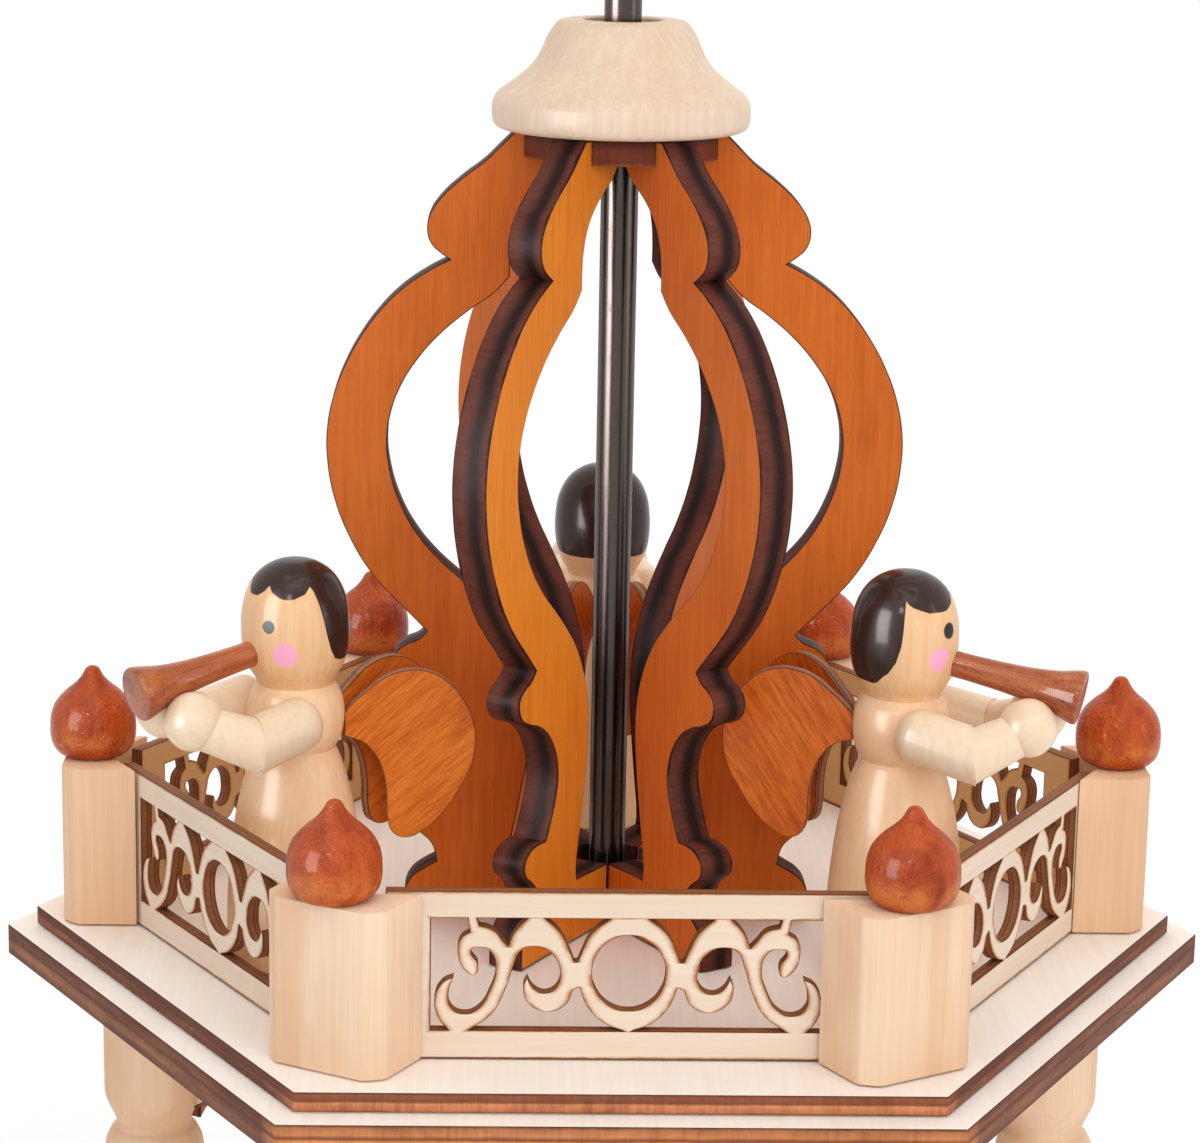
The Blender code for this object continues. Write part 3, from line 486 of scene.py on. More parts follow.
def sawn(outlines, thickness, bevel=0.12, resolution=10, rim=0.3):
    """A board in the XZ plane, Y through it. The first outline is the board's own."""
    curve = bpy.data.curves.new("saw line", "CURVE")
    curve.dimensions = "2D"
    curve.fill_mode = "BOTH"
    curve.extrude = (thickness / 2 - bevel) * MM
    curve.bevel_depth = bevel * MM
    curve.bevel_resolution = 1
    curve.offset = -bevel * MM
    curve.resolution_u = resolution
    for outline in outlines:
        spline = curve.splines.new("BEZIER")
        spline.bezier_points.add(len(outline) - 1)
        for knot, (x, y, *corner) in zip(spline.bezier_points, outline):
            knot.co = (x * MM, y * MM, 0)
            knot.handle_left_type = "VECTOR" if corner else "AUTO"
            knot.handle_right_type = knot.handle_left_type
        spline.use_cyclic_u = True
    drawn = add_object("saw line", curve)
    bpy.context.view_layer.update()
    shown = drawn.evaluated_get(bpy.context.evaluated_depsgraph_get())
    filled = bpy.data.meshes.new_from_object(shown)
    bpy.data.objects.remove(drawn)
    bm = bmesh.new()
    bm.from_mesh(filled)
    bmesh.ops.rotate(bm, verts=bm.verts, cent=(0, 0, 0), matrix=turned_by(90, "X").to_3x3())
    bmesh.ops.remove_doubles(bm, verts=bm.verts, dist=MERGE)
    for face in bm.faces:
        face.normal_update()
        face.material_index = 0 if abs(face.normal.y) > FACE_ON else 1
    scorch = bm.verts.layers.float.new("scorch")
    for vert in bm.verts:
        vert[scorch] = 1.0
    across = [edge for edge in bm.edges if len(edge.link_faces) == 2
              and all(face.material_index == 0 for face in edge.link_faces)]
    inner = []
    for edge in across:
        start, end = edge.verts
        share = min(WIDEST_RIM, rim * MM / edge.calc_length())
        near = bmesh.utils.edge_split(edge, start, share)[1]
        rest = next(e for e in near.link_edges if end in e.verts)
        inner += [near, bmesh.utils.edge_split(rest, end, share / (1 - share))[1]]
    bmesh.ops.connect_verts(bm, verts=inner)
    for vert in inner:
        vert[scorch] = 0.0
    return bm


# %% [markdown]
# ## The lathe
# A turned piece is a profile spun about its axis. The profile is given as a few points.
# Corners stay sharp and the rest is eased by Bezier stretches, then one full spin with
# merged ends makes the skin.

# %% Turn a profile
HANDLE = 0.36


def eased(points, steps):
    """A smooth line through points of (radius, height), with corners as for the saw."""
    knots = [Vector((*point[:2], 0)) for point in points]
    corner = [len(point) > 2 for point in points]
    line = []
    for i, (start, end) in enumerate(zip(knots, knots[1:])):
        chord = end - start
        leave = arrive = chord.normalized()
        if i > 0 and not corner[i]:
            leave = (end - knots[i - 1]).normalized()
        if i + 2 < len(knots) and not corner[i + 1]:
            arrive = (knots[i + 2] - start).normalized()
        reach = chord.length * HANDLE
        count = 1 if corner[i] and corner[i + 1] else steps
        bend = (start, start + leave * reach, end - arrive * reach, end)
        line += geometry.interpolate_bezier(*bend, count + 1)[:-1]
    return line + [knots[-1]]


def turned(points, segments=72, steps=6):
    """A solid of revolution about Z, from a profile in millimetres."""
    bm = bmesh.new()
    spots = [bm.verts.new((at.x * MM, 0, at.y * MM)) for at in eased(points, steps)]
    edges = [bm.edges.new(pair) for pair in zip(spots, spots[1:])]
    bmesh.ops.spin(bm, geom=spots + edges, cent=(0, 0, 0), axis=(0, 0, 1),
                   angle=math.tau, steps=segments, use_merge=True)
    return bm


# %% [markdown]
# ## Deck
# Two hexagonal plates are glued face to face, the lower one larger and thicker. They are
# sawn like the rest, with a hole for the shaft, and laid flat. The base below is broader,
# with a step on it, and has no hole.

# %% Deck plates and base
SHAFT_HOLE = 4.6


def ring_line(radius, count=12):
    angles = [i * math.tau / count for i in range(count)]
    return [(radius * math.cos(angle), radius * math.sin(angle)) for angle in angles]


def plate(name, node, radius, hole, low, thickness, edge, seed):
    lines = [[(x, y, "c") for x, y in ring_line(radius, 6)]] + ([ring_line(hole)] if hole else [])
    laid = shift(0, 0, low + thickness / 2) @ turned_by(90, "X")
    settle(name, sawn(lines, thickness, 0.1), laid, node, [DECK_FACE, edge], seed)


plate("lower_deck_plate", "deck_lower", 100, SHAFT_HOLE, foot("deck_lower"), 5, DECK_EDGE, 1)
plate("upper_deck_plate", "deck_upper", 95.1, SHAFT_HOLE, foot("deck_upper"), 3, PLATE_EDGE, 2)
plate("base_plate", "base", 150, 0, 0, 6, BASE_EDGE, 3)
plate("base_step", None, 112, 0, 6, 5, BASE_EDGE, 4)
print("plates", made)

# %% [markdown]
# ## Railing
# Each panel mirrors half a motif about the ring in its middle: a heart of two scrolls
# under the top rail, and an S that curls up to the post. What is drawn here is the
# waste, the openings between the scrolls. The drawing is then carried to the panel's own
# rails, and a ring is cut in the middle.

# %% Half motif
FIELD_OUTER = [
    (29.3, 21.6, "c"), (24, 21.6, "c"), (23.5, 19.4, "c"), (24.9, 18.4), (25.3, 16), (24.2, 13.3),
    (22.7, 12.7), (22.3, 14.2), (23.3, 16.5), (22.2, 17), (20.4, 16.2), (19.7, 13.6),
    (20.6, 10.1), (22.2, 7.4), (24.4, 6.5), (26.3, 7.6), (26.6, 10), (25.9, 12.3, "c"),
    (27.6, 11.4), (28.7, 8.8), (28.1, 5.7), (26.6, 3.9, "c"), (29.3, 3.9, "c"),
]
WEDGE_OUTER = [
    (15.1, 21.6, "c"), (17, 19.4), (17.9, 17.2, "c"), (18.8, 18.2), (20.2, 19.8),
    (22.2, 20.4, "c"), (22.5, 21.6, "c"),
]
FIELD_INNER = [
    (0.6, 3.9, "c"), (3.6, 5.2), (6.1, 7.8), (7.3, 10.8, "c"), (8.2, 10.4, "c"), (9.3, 8),
    (11.8, 6.9), (14.7, 8.1), (15.6, 10.7), (15.1, 12.3, "c"), (13.8, 10.4), (12.2, 9.9),
    (10.6, 11), (10.2, 13.4), (11.2, 15.8), (13.8, 17.2), (16.1, 16.4), (17.1, 14), (18.3, 10.2),
    (20.2, 6.5), (23.6, 3.9, "c"),
]
WEDGE_INNER = [
    (2.9, 21.6, "c"), (5.6, 19.3), (7.1, 16.2), (7.6, 14.8, "c"), (8.1, 14.8, "c"), (8.9, 16.8),
    (10.2, 19.4), (12.5, 21.6, "c"),
]

# %% Panel between its rails
DRAWN_LOW, DRAWN_HIGH = 3.9, 21.6
RAIL_LOW, RAIL_HIGH = 4.4, 21.9
PANEL_HALF, PANEL_HEIGHT = 36, 26
RING_WIDE, RING_TALL, RING_MIDDLE = 5.45, 5.95, 13.1


def between_rails(z):
    """A height in the drawn motif, carried to the panel's own rails."""
    return RAIL_LOW + (z - DRAWN_LOW) / (DRAWN_HIGH - DRAWN_LOW) * (RAIL_HIGH - RAIL_LOW)


panel_lines = [[(-PANEL_HALF, 0, "c"), (PANEL_HALF, 0, "c"),
                (PANEL_HALF, PANEL_HEIGHT, "c"), (-PANEL_HALF, PANEL_HEIGHT, "c")]]
for waste in (FIELD_OUTER, WEDGE_OUTER, FIELD_INNER, WEDGE_INNER):
    for hand in (1, -1):
        panel_lines.append([(hand * x, between_rails(z), *corner) for x, z, *corner in waste])
ring = [(RING_WIDE * x, RING_MIDDLE + RING_TALL * y) for x, y in ring_line(1)]
panel_lines.append([(x, between_rails(z)) for x, z in ring])
print("openings in a panel", len(panel_lines) - 1)

# %% Six panels, each glued a hair off the true hexagon, so far out and so far aside
PANEL_SEATS = [(68.0, 1.2), (70.7, 0), (70, 0), (70, 0), (70, 0), (70.5, 0)]
for i, (outward, aside) in enumerate(PANEL_SEATS):
    settle(f"railing_{i + 1}", sawn(panel_lines, 2, 0.1, rim=1.1),
           turned_by(60 * i) @ shift(aside, -outward, FLOOR), f"railing_panel_{i + 1}",
           [PANEL_FACE, PANEL_EDGE], 5 + i)
print("railing faces each", made["railing_1"])

# %% [markdown]
# ## Posts and finials
# A post is planed to five faces outside, and a wide notch behind takes the ends of two
# panels. Its long outer edges are eased, and its rims a little. The finial on it is an
# onion, turned with a tip. Posts are glued by hand too, each a little off. Every finial is
# turned further round than the last, so that each shows another side of its grain.

# %% Posts
POST_OUT, POST_HEIGHT = 81, 25.7
OUTSIDE, LEVEL = 3, 0.001
POST_PLAN = [(82.33, 0), (76.6, -10.2), (86.4, -10.2), (88.8, -7.7),
             (88.8, 7.7), (86.4, 10.2), (76.6, 10.2)]


def climb(edge):
    return abs(edge.verts[0].co.z - edge.verts[1].co.z) / MM


def ease(bm, edges, width, segments):
    bmesh.ops.bevel(bm, geom=edges, offset=width * MM, offset_type="OFFSET", affect="EDGES",
                    segments=segments, profile=0.5, material=-1)


def post(height):
    """The plan raised to a height, its outer corners eased broadly and its rims a little."""
    bm = bmesh.new()
    sole = bm.faces.new([bm.verts.new(((x - POST_OUT) * MM, y * MM, 0)) for x, y in POST_PLAN])
    raised = bmesh.ops.extrude_face_region(bm, geom=[sole])
    top = [v for v in raised["geom"] if isinstance(v, bmesh.types.BMVert)]
    bmesh.ops.translate(bm, verts=top, vec=(0, 0, height * MM))
    upright = [edge for edge in bm.edges if climb(edge) > height / 2]
    ease(bm, [edge for edge in upright if edge.verts[0].co.x > OUTSIDE * MM], 0.6, 5)
    ease(bm, [edge for edge in bm.edges if climb(edge) < LEVEL], 0.22, 2)
    return bm


ONION = [
    (0, 0, "c"), (5.3, 0, "c"), (5.9, 0.5), (6.6, 1.5), (7, 3), (7.05, 4.4), (6.95, 6),
    (6.6, 7.5), (5.8, 9), (4.4, 10.5), (2.95, 11.7), (1.95, 12.8), (1.4, 13.7), (1.05, 14.3),
    (0.5, 14.65), (0, 14.7, "c"),
]

# %% Six of each, moved so far across and along, and so much taller
FINIAL_OUT, FINIAL_GAP, FINIAL_TURN = 84.4, 0.2, 47
# Painted shade: the left and right posts take the darker copy of the wood.
SHADED_SIDE_POSTS = (0, 3)
POST_SEATS = [(0.6, 0, 0.8), (0, 0, 0), (0, 0, 0), (-0.9, 0, 0.8), (0, 2.0, 0), (0.2, 1.3, 0)]
for i, (across, along, taller) in enumerate(POST_SEATS):
    corner = shift(across, along, FLOOR) @ turned_by(60 * i)
    height = POST_HEIGHT + taller
    settle(f"post_{i + 1}", post(height), corner @ shift(POST_OUT, 0, 0), f"gallery_post_{i + 1}",
           [POST_SHADED_COPY if i in SHADED_SIDE_POSTS else POST_WOOD], 11 + i)
    tip = corner @ shift(FINIAL_OUT, 0, height + FINIAL_GAP) @ turned_by(90 + FINIAL_TURN * i)
    settle(f"finial_{i + 1}", turned(ONION, 64), tip, f"finial_{i + 1}",
           [FINIAL_STAIN])
print("posts and finials", made["post_1"], made["finial_1"])

# %% [markdown]
# ## Dome
# Six ogee ribs stand on edge round the shaft. The outer line falls over a small lobe
# and the big belly to a knob, a neck, a knee and a toe. The inner line follows the
# belly back up to the collar.

# %% Rib outline
RIB = [
    (16.9, 130.4, "c"), (19.2, 128.1), (21.4, 125.9), (25.5, 122.7), (28.7, 119.6), (30.3, 117),
    (30.7, 114.7), (30.1, 112.5), (28.5, 110.9), (27, 109.9, "c"), (30.4, 108.1), (34.8, 105),
    (38.3, 101.4), (41.2, 97.4), (43.6, 93), (45.5, 88), (46.6, 82.5), (46.6, 77), (45.4, 70.5),
    (42.8, 63.9), (39.5, 58.4), (36.3, 54.7), (33.1, 51.5), (30.3, 48.6, "c"), (31.6, 47.3),
    (33.8, 46.3), (35.3, 45), (35.5, 43.3), (34.6, 41.6), (32.6, 40.4), (29.5, 39.3),
    (26.5, 37.5), (24.3, 34.9), (23, 31.8), (22.8, 28.6), (23.6, 25.4), (25.1, 22),
    (26.4, 19.6, "c"), (29.5, 19.6), (31.9, 18.8), (33.2, 17.1), (32.7, 15.3), (30.9, 13.9),
    (29.2, 12.1), (28.4, 9.2, "c"), (30.2, 8.2), (32.2, 6.8), (33.4, 5), (33.8, 2.6),
    (33.8, 0, "c"), (5.5, 0, "c"), (5.5, 10, "c"), (15.9, 10.3, "c"), (16.1, 12.2), (15.2, 17.5),
    (14.2, 23), (13.2, 29.2), (12.7, 35), (13, 39.6), (14.3, 44.2), (17.1, 49.5), (20.8, 53.8),
    (24.4, 57.2), (28.6, 61), (32.2, 65.4), (34.9, 70.5), (36.5, 76), (36.9, 80.5), (36.3, 85),
    (34.7, 89.4), (32.2, 93.5), (28.7, 97.6), (24.2, 101.5), (19.8, 104.7), (17.4, 107.3, "c"),
    (17.4, 110), (17, 113.5), (15.6, 117.1), (13.4, 119.8), (10.6, 122), (8.2, 123.6),
    (6.4, 125.6, "c"), (6.4, 130.4, "c"),
]

# %% Six ribs
# Painted light: the front-left rib takes the lighter copy of the stain.
LIT_RIB = 4
for i in range(6):
    settle(f"rib_{i + 1}", sawn([RIB], 6, 0.15, 6, 0.22), turned_by(60 * i) @ shift(0, 0, FLOOR),
           f"dome_rib_{i + 1}",
           [RIB_LIT_COPY if i == LIT_RIB else RIB_FACE, RIB_EDGE], 17 + 3 * i)
print("rib faces each", made["rib_1"])

# %% [markdown]
# ## Collar and cap
# The rib tops slot into a dark hexagonal collar. A turned bell covers them, open in the
# middle where the shaft comes through.

# %% Collar and cap
SLOT_IN, SLOT_OUT, SLOT_HALF = 10.2, 15.4, 3.3
SLOT = [(SLOT_OUT, -SLOT_HALF), (SLOT_IN, -SLOT_HALF), (SLOT_IN, SLOT_HALF), (SLOT_OUT, SLOT_HALF)]
collar_line = []
for i in range(6):
    for out, side in SLOT:
        spot = turned_by(60 * i) @ Vector((out, side, 0))
        collar_line.append((spot.x, spot.y, "c"))
COLLAR_MIDDLE, COLLAR_HOLE = 2.7, 3.7
laid = shift(0, 0, foot("rib_collar") + COLLAR_MIDDLE) @ turned_by(90, "X")
settle("collar", sawn([collar_line, ring_line(COLLAR_HOLE)], 4, 0.1), laid, "rib_collar",
       [COLLAR_STAIN, COLLAR_STAIN], 2)

BELL = [
    (3.7, 0.4, "c"), (3.7, 0, "c"), (18.2, 0, "c"), (19.3, 0.15), (20.2, 0.75), (20.6, 2),
    (20.6, 4), (20.3, 5.1), (19.5, 6.2), (18.2, 7.2), (16.4, 8.6), (14.8, 10.1), (13.5, 11.8),
    (12.7, 13.5), (11.9, 15.4), (11, 16.9), (10.1, 17.9), (9, 18.2, "c"), (6.6, 18.2, "c"),
    (6.35, 17.95, "c"), (6.35, 7.2, "c"), (3.7, 7.2, "c"), (3.7, 0.4, "c"),
]
CAP_LIFT, CAP_TURN, CAP_SQUAT = 0.7, 35, 0.955
squat = Matrix.Diagonal((1, 1, CAP_SQUAT, 1))
cap_place = shift(0, 0, foot("dome_cap") + CAP_LIFT) @ turned_by(CAP_TURN) @ squat
settle("cap", turned(BELL, 128), cap_place, "dome_cap", [LIME], 4)
print("collar and cap", made["collar"], made["cap"])

# %% [markdown]
# ## Angels
# Skirt and bodice are turned in one, and the head is a ball with a flat. The arms are
# dowels with a mitred elbow and a ball for the hand. Hair, eyes and cheeks are paint, so
# they are painted by the shader. A ramp over the turn round the head gives the hairline's
# height. It hangs in lobes between its cusps over the brow, and falls to the nape at the
# sides in steps of (further round in degrees, lower in millimetres). Round dots give the rest.

# %% Hairline
NAPE = 46.5
HAIR_RANGE = 20
SOFT_FALL = [(3.7, -0.7), (7.5, -2.3), (11.5, -5.0), (15.6, -7.8), (21, -10.0), (29, -11.7), (38, -12.3)]
STEEP_FALL = [(0.5, -1.5), (1, -4), (2.7, -6.8), (8, -9.6), (17, -11.5), (31, -13.2), (39, -13.5)]


def hairline(cusps, top, drop, falls):
    """Stops of (turn, height): the turn is 0.5 in front, the height a share of HAIR_RANGE."""
    line = [(cusps[0] - turn, top + fall) for turn, fall in reversed(falls)]
    for start, end in zip(cusps, cusps[1:]):
        for share in (0, 0.12, 0.35, 0.65, 0.88):
            line.append((start + (end - start) * share, top - drop * math.sin(math.pi * share) ** 0.7))
    line.append((cusps[-1], top))
    line += [(cusps[-1] + turn, top + fall) for turn, fall in falls]
    return [(turn / 360 + 0.5, (height - NAPE) / HAIR_RANGE) for turn, height in line]


# %% Painted head
HEAD_RADIUS = 8.4
PINK, BLACK = (0.98, 0.43, 0.62), (0.012, 0.01, 0.012)
PINK_EDGE, BLACK_EDGE = 0.45, 0.15


def painted_head(name, cusps, top, drop, falls, eye, cheek):
    """Limewood with glossy dark hair, dot eyes and pink cheeks, each (turn, height, radius)."""
    material, shader, own = finish(name, 0.4, coat=0.28, coat_roughness=0.14, specular=0.14)
    x, y, z = own.axis(0), own.axis(1), own.axis(2)
    lines = grain(own, 1000.0, 34.0)
    cloud = clouds(own, 70, 22)
    skin = lines.between(0.34, 0.68).blend((0.81, 0.475, 0.235), (0.87, 0.57, 0.32))
    skin = (cloud.between(0.42, 0.7) * 0.4).blend(skin, (0.78, 0.45, 0.23))
    turn = x.math("ARCTAN2", y, x) / math.tau + 0.5
    wander = (own.noise(450.0, 2.0, 0.5) - 0.5) * (0.5 * MM)
    line = turn.ramp(hairline(cusps, top, drop, falls)) * (HAIR_RANGE * MM) + NAPE * MM + wander
    hair = (z - line).between(-0.08 * MM, 0.1 * MM)
    sheen = own.stretched(900, 900, 160).noise(1.0, 4.0, 0.6)
    hair_tone = sheen.blend((0.022, 0.01, 0.008), (0.05, 0.022, 0.016))
    tone = skin
    for side in (1, -1):
        for dot, soft, paint in ((cheek, PINK_EDGE, PINK), (eye, BLACK_EDGE, BLACK)):
            degrees, height, radius = dot
            spot = turned_by(side * degrees) @ Vector((HEAD_RADIUS, 0, height))
            away = own.away_from(*(spot * MM))
            tone = (1 - away.between((radius - soft) * MM, (radius + soft) * MM)).blend(tone, paint)
    tone = hair.blend(tone, hair_tone)
    rub = (0.42 - hair * 0.16 + sheen * hair * 0.12).clamped()
    relief = hair * 0.9 + lines * 0.12 + sheen * hair * 0.35
    wire(shader, Base_Color=tone, Roughness=rub, Normal=relief.bump(0.3, 0.0001))
    return material


# %% Turned figure
SKIRT = [
    (0, 0, "c"), (10.3, 0, "c"), (10.85, 0.9), (11, 3.5), (10.95, 9), (10.7, 13.5), (10.2, 19),
    (9.5, 24), (8.6, 28.2), (7.6, 31.8), (6.7, 34.2), (6.25, 35, "c"), (6.9, 36.1), (7.45, 37.7),
    (7.75, 40), (7.6, 42.2), (7.1, 44), (6.1, 45.5, "c"), (0, 45.5, "c"),
]
HEAD = [
    (0, 45.3, "c"), (6.05, 45.3, "c"), (6.3, 46.3), (7.1, 47.6), (7.9, 49.3), (8.35, 51.4),
    (8.55, 54), (8.45, 56.6), (8.1, 58.9), (7.4, 60.9), (6.3, 62.7), (4.9, 64), (3, 65),
    (1.3, 65.35), (0, 65.4, "c"),
]


def aimed(start, end):
    """The place of a piece made along Z, so that it runs from one point to another."""
    way = Vector(end) - Vector(start)
    return shift(*start) @ way.to_track_quat("Z", "Y").to_matrix().to_4x4()


# %% [markdown]
# An arm is one skin: rings round the upper arm, two slanted rings in the plane of the
# mitre, and a ring round the wrist, bridged in turn. A slanted ring is slid along its
# dowel until it meets that plane. The forearm's is a hair smaller, which shows the joint.

# %% Arm
AT_SHOULDER, AT_ELBOW, AT_WRIST = 4.3, 4.35, 3.5
SEAM, SHOULDER_DEPTH = 0.93, 0.8
ROUND = 40


def arm(shoulder, elbow, wrist):
    """A dowel arm with a rounded shoulder and a mitred elbow."""
    shoulder, elbow, wrist = Vector(shoulder), Vector(elbow), Vector(wrist)
    first, second = (elbow - shoulder).normalized(), (wrist - elbow).normalized()
    hinge = first.cross(second).normalized()
    mitre = (first + second).normalized()
    bm = bmesh.new()

    def ring(centre, way, radius):
        facing = Matrix((hinge, way.cross(hinge), way)).transposed().to_4x4()
        place = shift(*centre) @ facing
        return bmesh.ops.create_circle(bm, segments=ROUND, radius=radius * MM, matrix=place)["verts"]

    rings = []
    for degrees in (86, 66, 46, 26, 10, 0):
        round_off = math.radians(degrees)
        behind = first * AT_SHOULDER * SHOULDER_DEPTH * math.sin(round_off)
        rings.append(ring(shoulder - behind, first, AT_SHOULDER * math.cos(round_off)))
    for way, radius in ((first, AT_ELBOW), (second, AT_ELBOW * SEAM)):
        bend = ring(elbow, way, radius)
        for vert in bend:
            vert.co -= way * (vert.co - elbow * MM).dot(mitre) / way.dot(mitre)
        rings.append(bend)
    rings.append(ring(wrist, second, AT_WRIST))
    for near, far in zip(rings, rings[1:]):
        ends = set(near) | set(far)
        edges = [e for e in bm.edges if set(e.verts) <= ends and len(e.link_faces) < 2]
        bmesh.ops.bridge_loops(bm, edges=edges)
    open_ends = [edge for edge in bm.edges if len(edge.link_faces) == 1]
    bmesh.ops.holes_fill(bm, edges=open_ends, sides=ROUND)
    return bm


# %% Horn
def horn(length):
    """A plain trumpet that widens slowly and then flares over its last few millimetres."""
    return turned([
        (0, 0, "c"), (1.7, 0, "c"), (2.0, 0.3), (2.1, length * 0.2), (2.35, length * 0.45),
        (2.75, length * 0.65), (3.3, length - 4.5), (4.0, length - 2.0), (4.3, length - 0.7),
        (4.2, length - 0.15), (3.9, length, "c"), (0, length - 0.3, "c"),
    ], 48)


# %% Wing
WING = [
    (0, 36.9, "c"), (2.7, 36), (4.6, 34.2), (6, 31.4), (6.7, 27.5), (6.9, 23.2), (7.8, 20.7),
    (10, 19.9), (12.8, 21.2), (15.4, 23.6), (17.9, 27.1), (20, 31), (20.9, 35.2), (20.6, 39),
    (18.9, 42.9), (16.4, 45.8), (13.5, 47.4), (10.1, 47.7), (6.4, 46.5), (3.5, 44.3), (1, 42.1),
    (0, 40.8, "c"),
]

# %% [markdown]
# An angel stands in its bay and may face a little aside. Each has its own bend of the
# arms and spread of the wings, because the real ones were glued by hand. A wing's root
# meets the round back a little beside its middle, where the back already falls away.

# %% One angel
HAND = [(0, -4.6, "c"), (2.5, -3.9), (4.3, -1.6), (4.55, 0.6), (3.6, 3.0), (1.8, 4.3), (0, 4.6, "c")]
MOUTH = (6.6, 0, 51.3)
HORN_REACH, HORN_DIP = 21.8, math.radians(10.5)
BACK, BACK_SLOPE = -8.06, 0.268
HALF_BOARD, ROOT_ASIDE = 1.5, 1.7


def angel(label, seed, bay, faces, outward, aside, bend, spread, wing_lift, wing, head):
    """One figure. Where its bay is, where it faces and how far each wing opens are in degrees."""
    spot = turned_by(bay) @ Vector((outward, aside, 0))
    stand_here = shift(spot.x, spot.y, FLOOR) @ turned_by(faces)

    def add(name, bm, place, paint, own_seed, sharp=32.0):
        settle(f"{label}_{name}", bm, stand_here @ place, f"angel_{label}", [paint],
               own_seed, sharp=sharp)

    add("skirt", turned(SKIRT, 96), Matrix(), SKIRT_WOOD, seed)
    add("head", turned(HEAD, 96), Matrix(), head, 0)
    for hand, side, opening in ((1, "left", spread[0]), (-1, "right", spread[1])):
        shoulder, elbow = (4.2, hand * 8.1, 41.0), (bend, hand * 9.0, 38.9)
        wrist, fist = (19.0, hand * 5.6, 41.7), (20.8, hand * 4.5, 42.9)
        add(f"{side}_arm", arm(shoulder, elbow, wrist), Matrix(), ARM_WOOD, seed + 2, sharp=24.0)
        knuckles = (fist[0] + 4, fist[1], fist[2] + 3)
        add(f"{side}_hand", turned(HAND, 48), aimed(fist, knuckles), ARM_WOOD, seed + 7)
        swing = math.radians(opening)
        corner = (ROOT_ASIDE + HALF_BOARD * math.cos(swing)) * BACK_SLOPE
        seat = BACK + corner - HALF_BOARD * math.sin(swing)
        root = shift(seat, hand * ROOT_ASIDE, wing_lift) @ turned_by(180 - hand * opening)
        settle(f"{label}_{side}_wing", sawn([WING], 2), stand_here @ root,
               f"wing_{label}_{side}", [wing, WING_EDGE], seed + 9)
    bell = (MOUTH[0] + HORN_REACH, 0, MOUTH[2] - HORN_REACH * math.tan(HORN_DIP))
    add("horn", horn(math.dist(MOUTH, bell)), aimed(MOUTH, bell), HORN_STAIN, seed + 12)


# %% Three angels
angel("left", 0, 210, 214, 55.6, -4.83, 12.4, (30, 2), -1.0, WING_FACE,
      painted_head("left head", (-79, -23, 23, 79), 62.3, 1.9, SOFT_FALL,
                   (30, 56.1, 1.05), (48, 51.7, 1.95)))
angel("right", 1, 330, 342, 52.7, -0.7, 13.4, (30, 3), 0.9, WING_DEEP,
      painted_head("right head", (-79, 5, 79), 62.0, 2.0, STEEP_FALL,
                   (24, 57.1, 1.3), (38, 52.8, 1.9)))
angel("back", 2, 90, 90, 54.4, 0, 13.4, (20, 20), 0, WING_DEEP,
      painted_head("back head", (-75, 0, 75), 62.0, 2.0, SOFT_FALL,
                   (27, 56.6, 1.2), (43, 52.3, 1.9)))
print("one angel has", sum(faces for name, faces in made.items() if name.startswith("left_")), "faces")

# %% [markdown]
# ## Lower storey
# Six turned columns carry the deck. Between their tops run the valance boards, arched
# below, and a round table turns with the shaft. Candle cups stand on the base.

# %% Columns
COLUMN = [
    (0, 0, "c"), (8.3, 0, "c"), (8.3, 7.5), (8, 9), (6.2, 11.6), (5.5, 13.2), (6, 15),
    (7.2, 18.5), (7.6, 22.5), (7.2, 31), (6.2, 44), (5.4, 57), (5, 66.5), (5.3, 70.5), (6.5, 74),
    (7.8, 78), (8.4, 82), (8.15, 85.5), (7.2, 87.6, "c"), (6.3, 88.6), (6.6, 90), (8, 93.2),
    (8.3, 95), (8.3, 118, "c"), (0, 118, "c"),
]
COLUMN_OUT = 76
for i in range(6):
    column_place = turned_by(60 * i) @ shift(COLUMN_OUT, 0, foot("column_1"))
    settle(f"column_{i + 1}", turned(COLUMN, 56, 4), column_place, f"column_{i + 1}",
           [POST_WOOD], 31 + i)
print("column faces each", made["column_1"])

# %% Valance
HALF_ARCH = [(35.3, 28.5, "c"), (35.3, 0, "c"), (32.1, 2.5, "c"), (19.3, 9.4), (8.0, 13.3)]
ARCH_TOP = (0, 17.0, "c")
VALANCE = [(-x, *rest) for x, *rest in HALF_ARCH] + [ARCH_TOP] + HALF_ARCH[::-1]
VALANCE_OUT = 59.64
for i in range(6):
    board_place = turned_by(60 * i) @ shift(0, -VALANCE_OUT, foot("valance_ring"))
    settle(f"valance_{i + 1}", sawn([VALANCE], 3), board_place, "valance_ring" if i == 0 else None,
           [PANEL_FACE, PANEL_EDGE], 41 + i)
print("valance faces each", made["valance_1"])

# %% Cups, bearing and turntable
CUP = [
    (0, 0, "c"), (13.2, 0, "c"), (13.5, 0.3), (13.5, 1.9), (12.2, 3), (8.6, 3.6), (7, 5),
    (6.8, 7), (8.2, 9), (9.4, 11), (9.5, 16), (9.5, 23.8, "c"), (10.1, 24.4), (10.4, 25.4),
    (10, 26.8), (9.4, 27), (7.5, 27, "c"), (7.2, 26.7, "c"), (7.2, 14, "c"), (0, 14, "c"),
]
CUP_OUT = 127
for i in range(3):
    node = f"candle_cup_{i + 1}"
    settle(node, turned(CUP, 64), turned_by(120 * i) @ shift(CUP_OUT, 0, foot(node)), node,
           [LIME], 51 + i)
BEARING = [
    (0, 0, "c"), (8.8, 0, "c"), (9, 0.2, "c"), (9, 2.9, "c"), (8.7, 3.2), (6.3, 6.8),
    (6.1, 7, "c"), (4.6, 7, "c"), (4.4, 6.9, "c"), (0, 2.6, "c"),
]
settle("bearing", turned(BEARING, 64), shift(0, 0, foot("bearing_cup")), "bearing_cup",
       [BRASS])
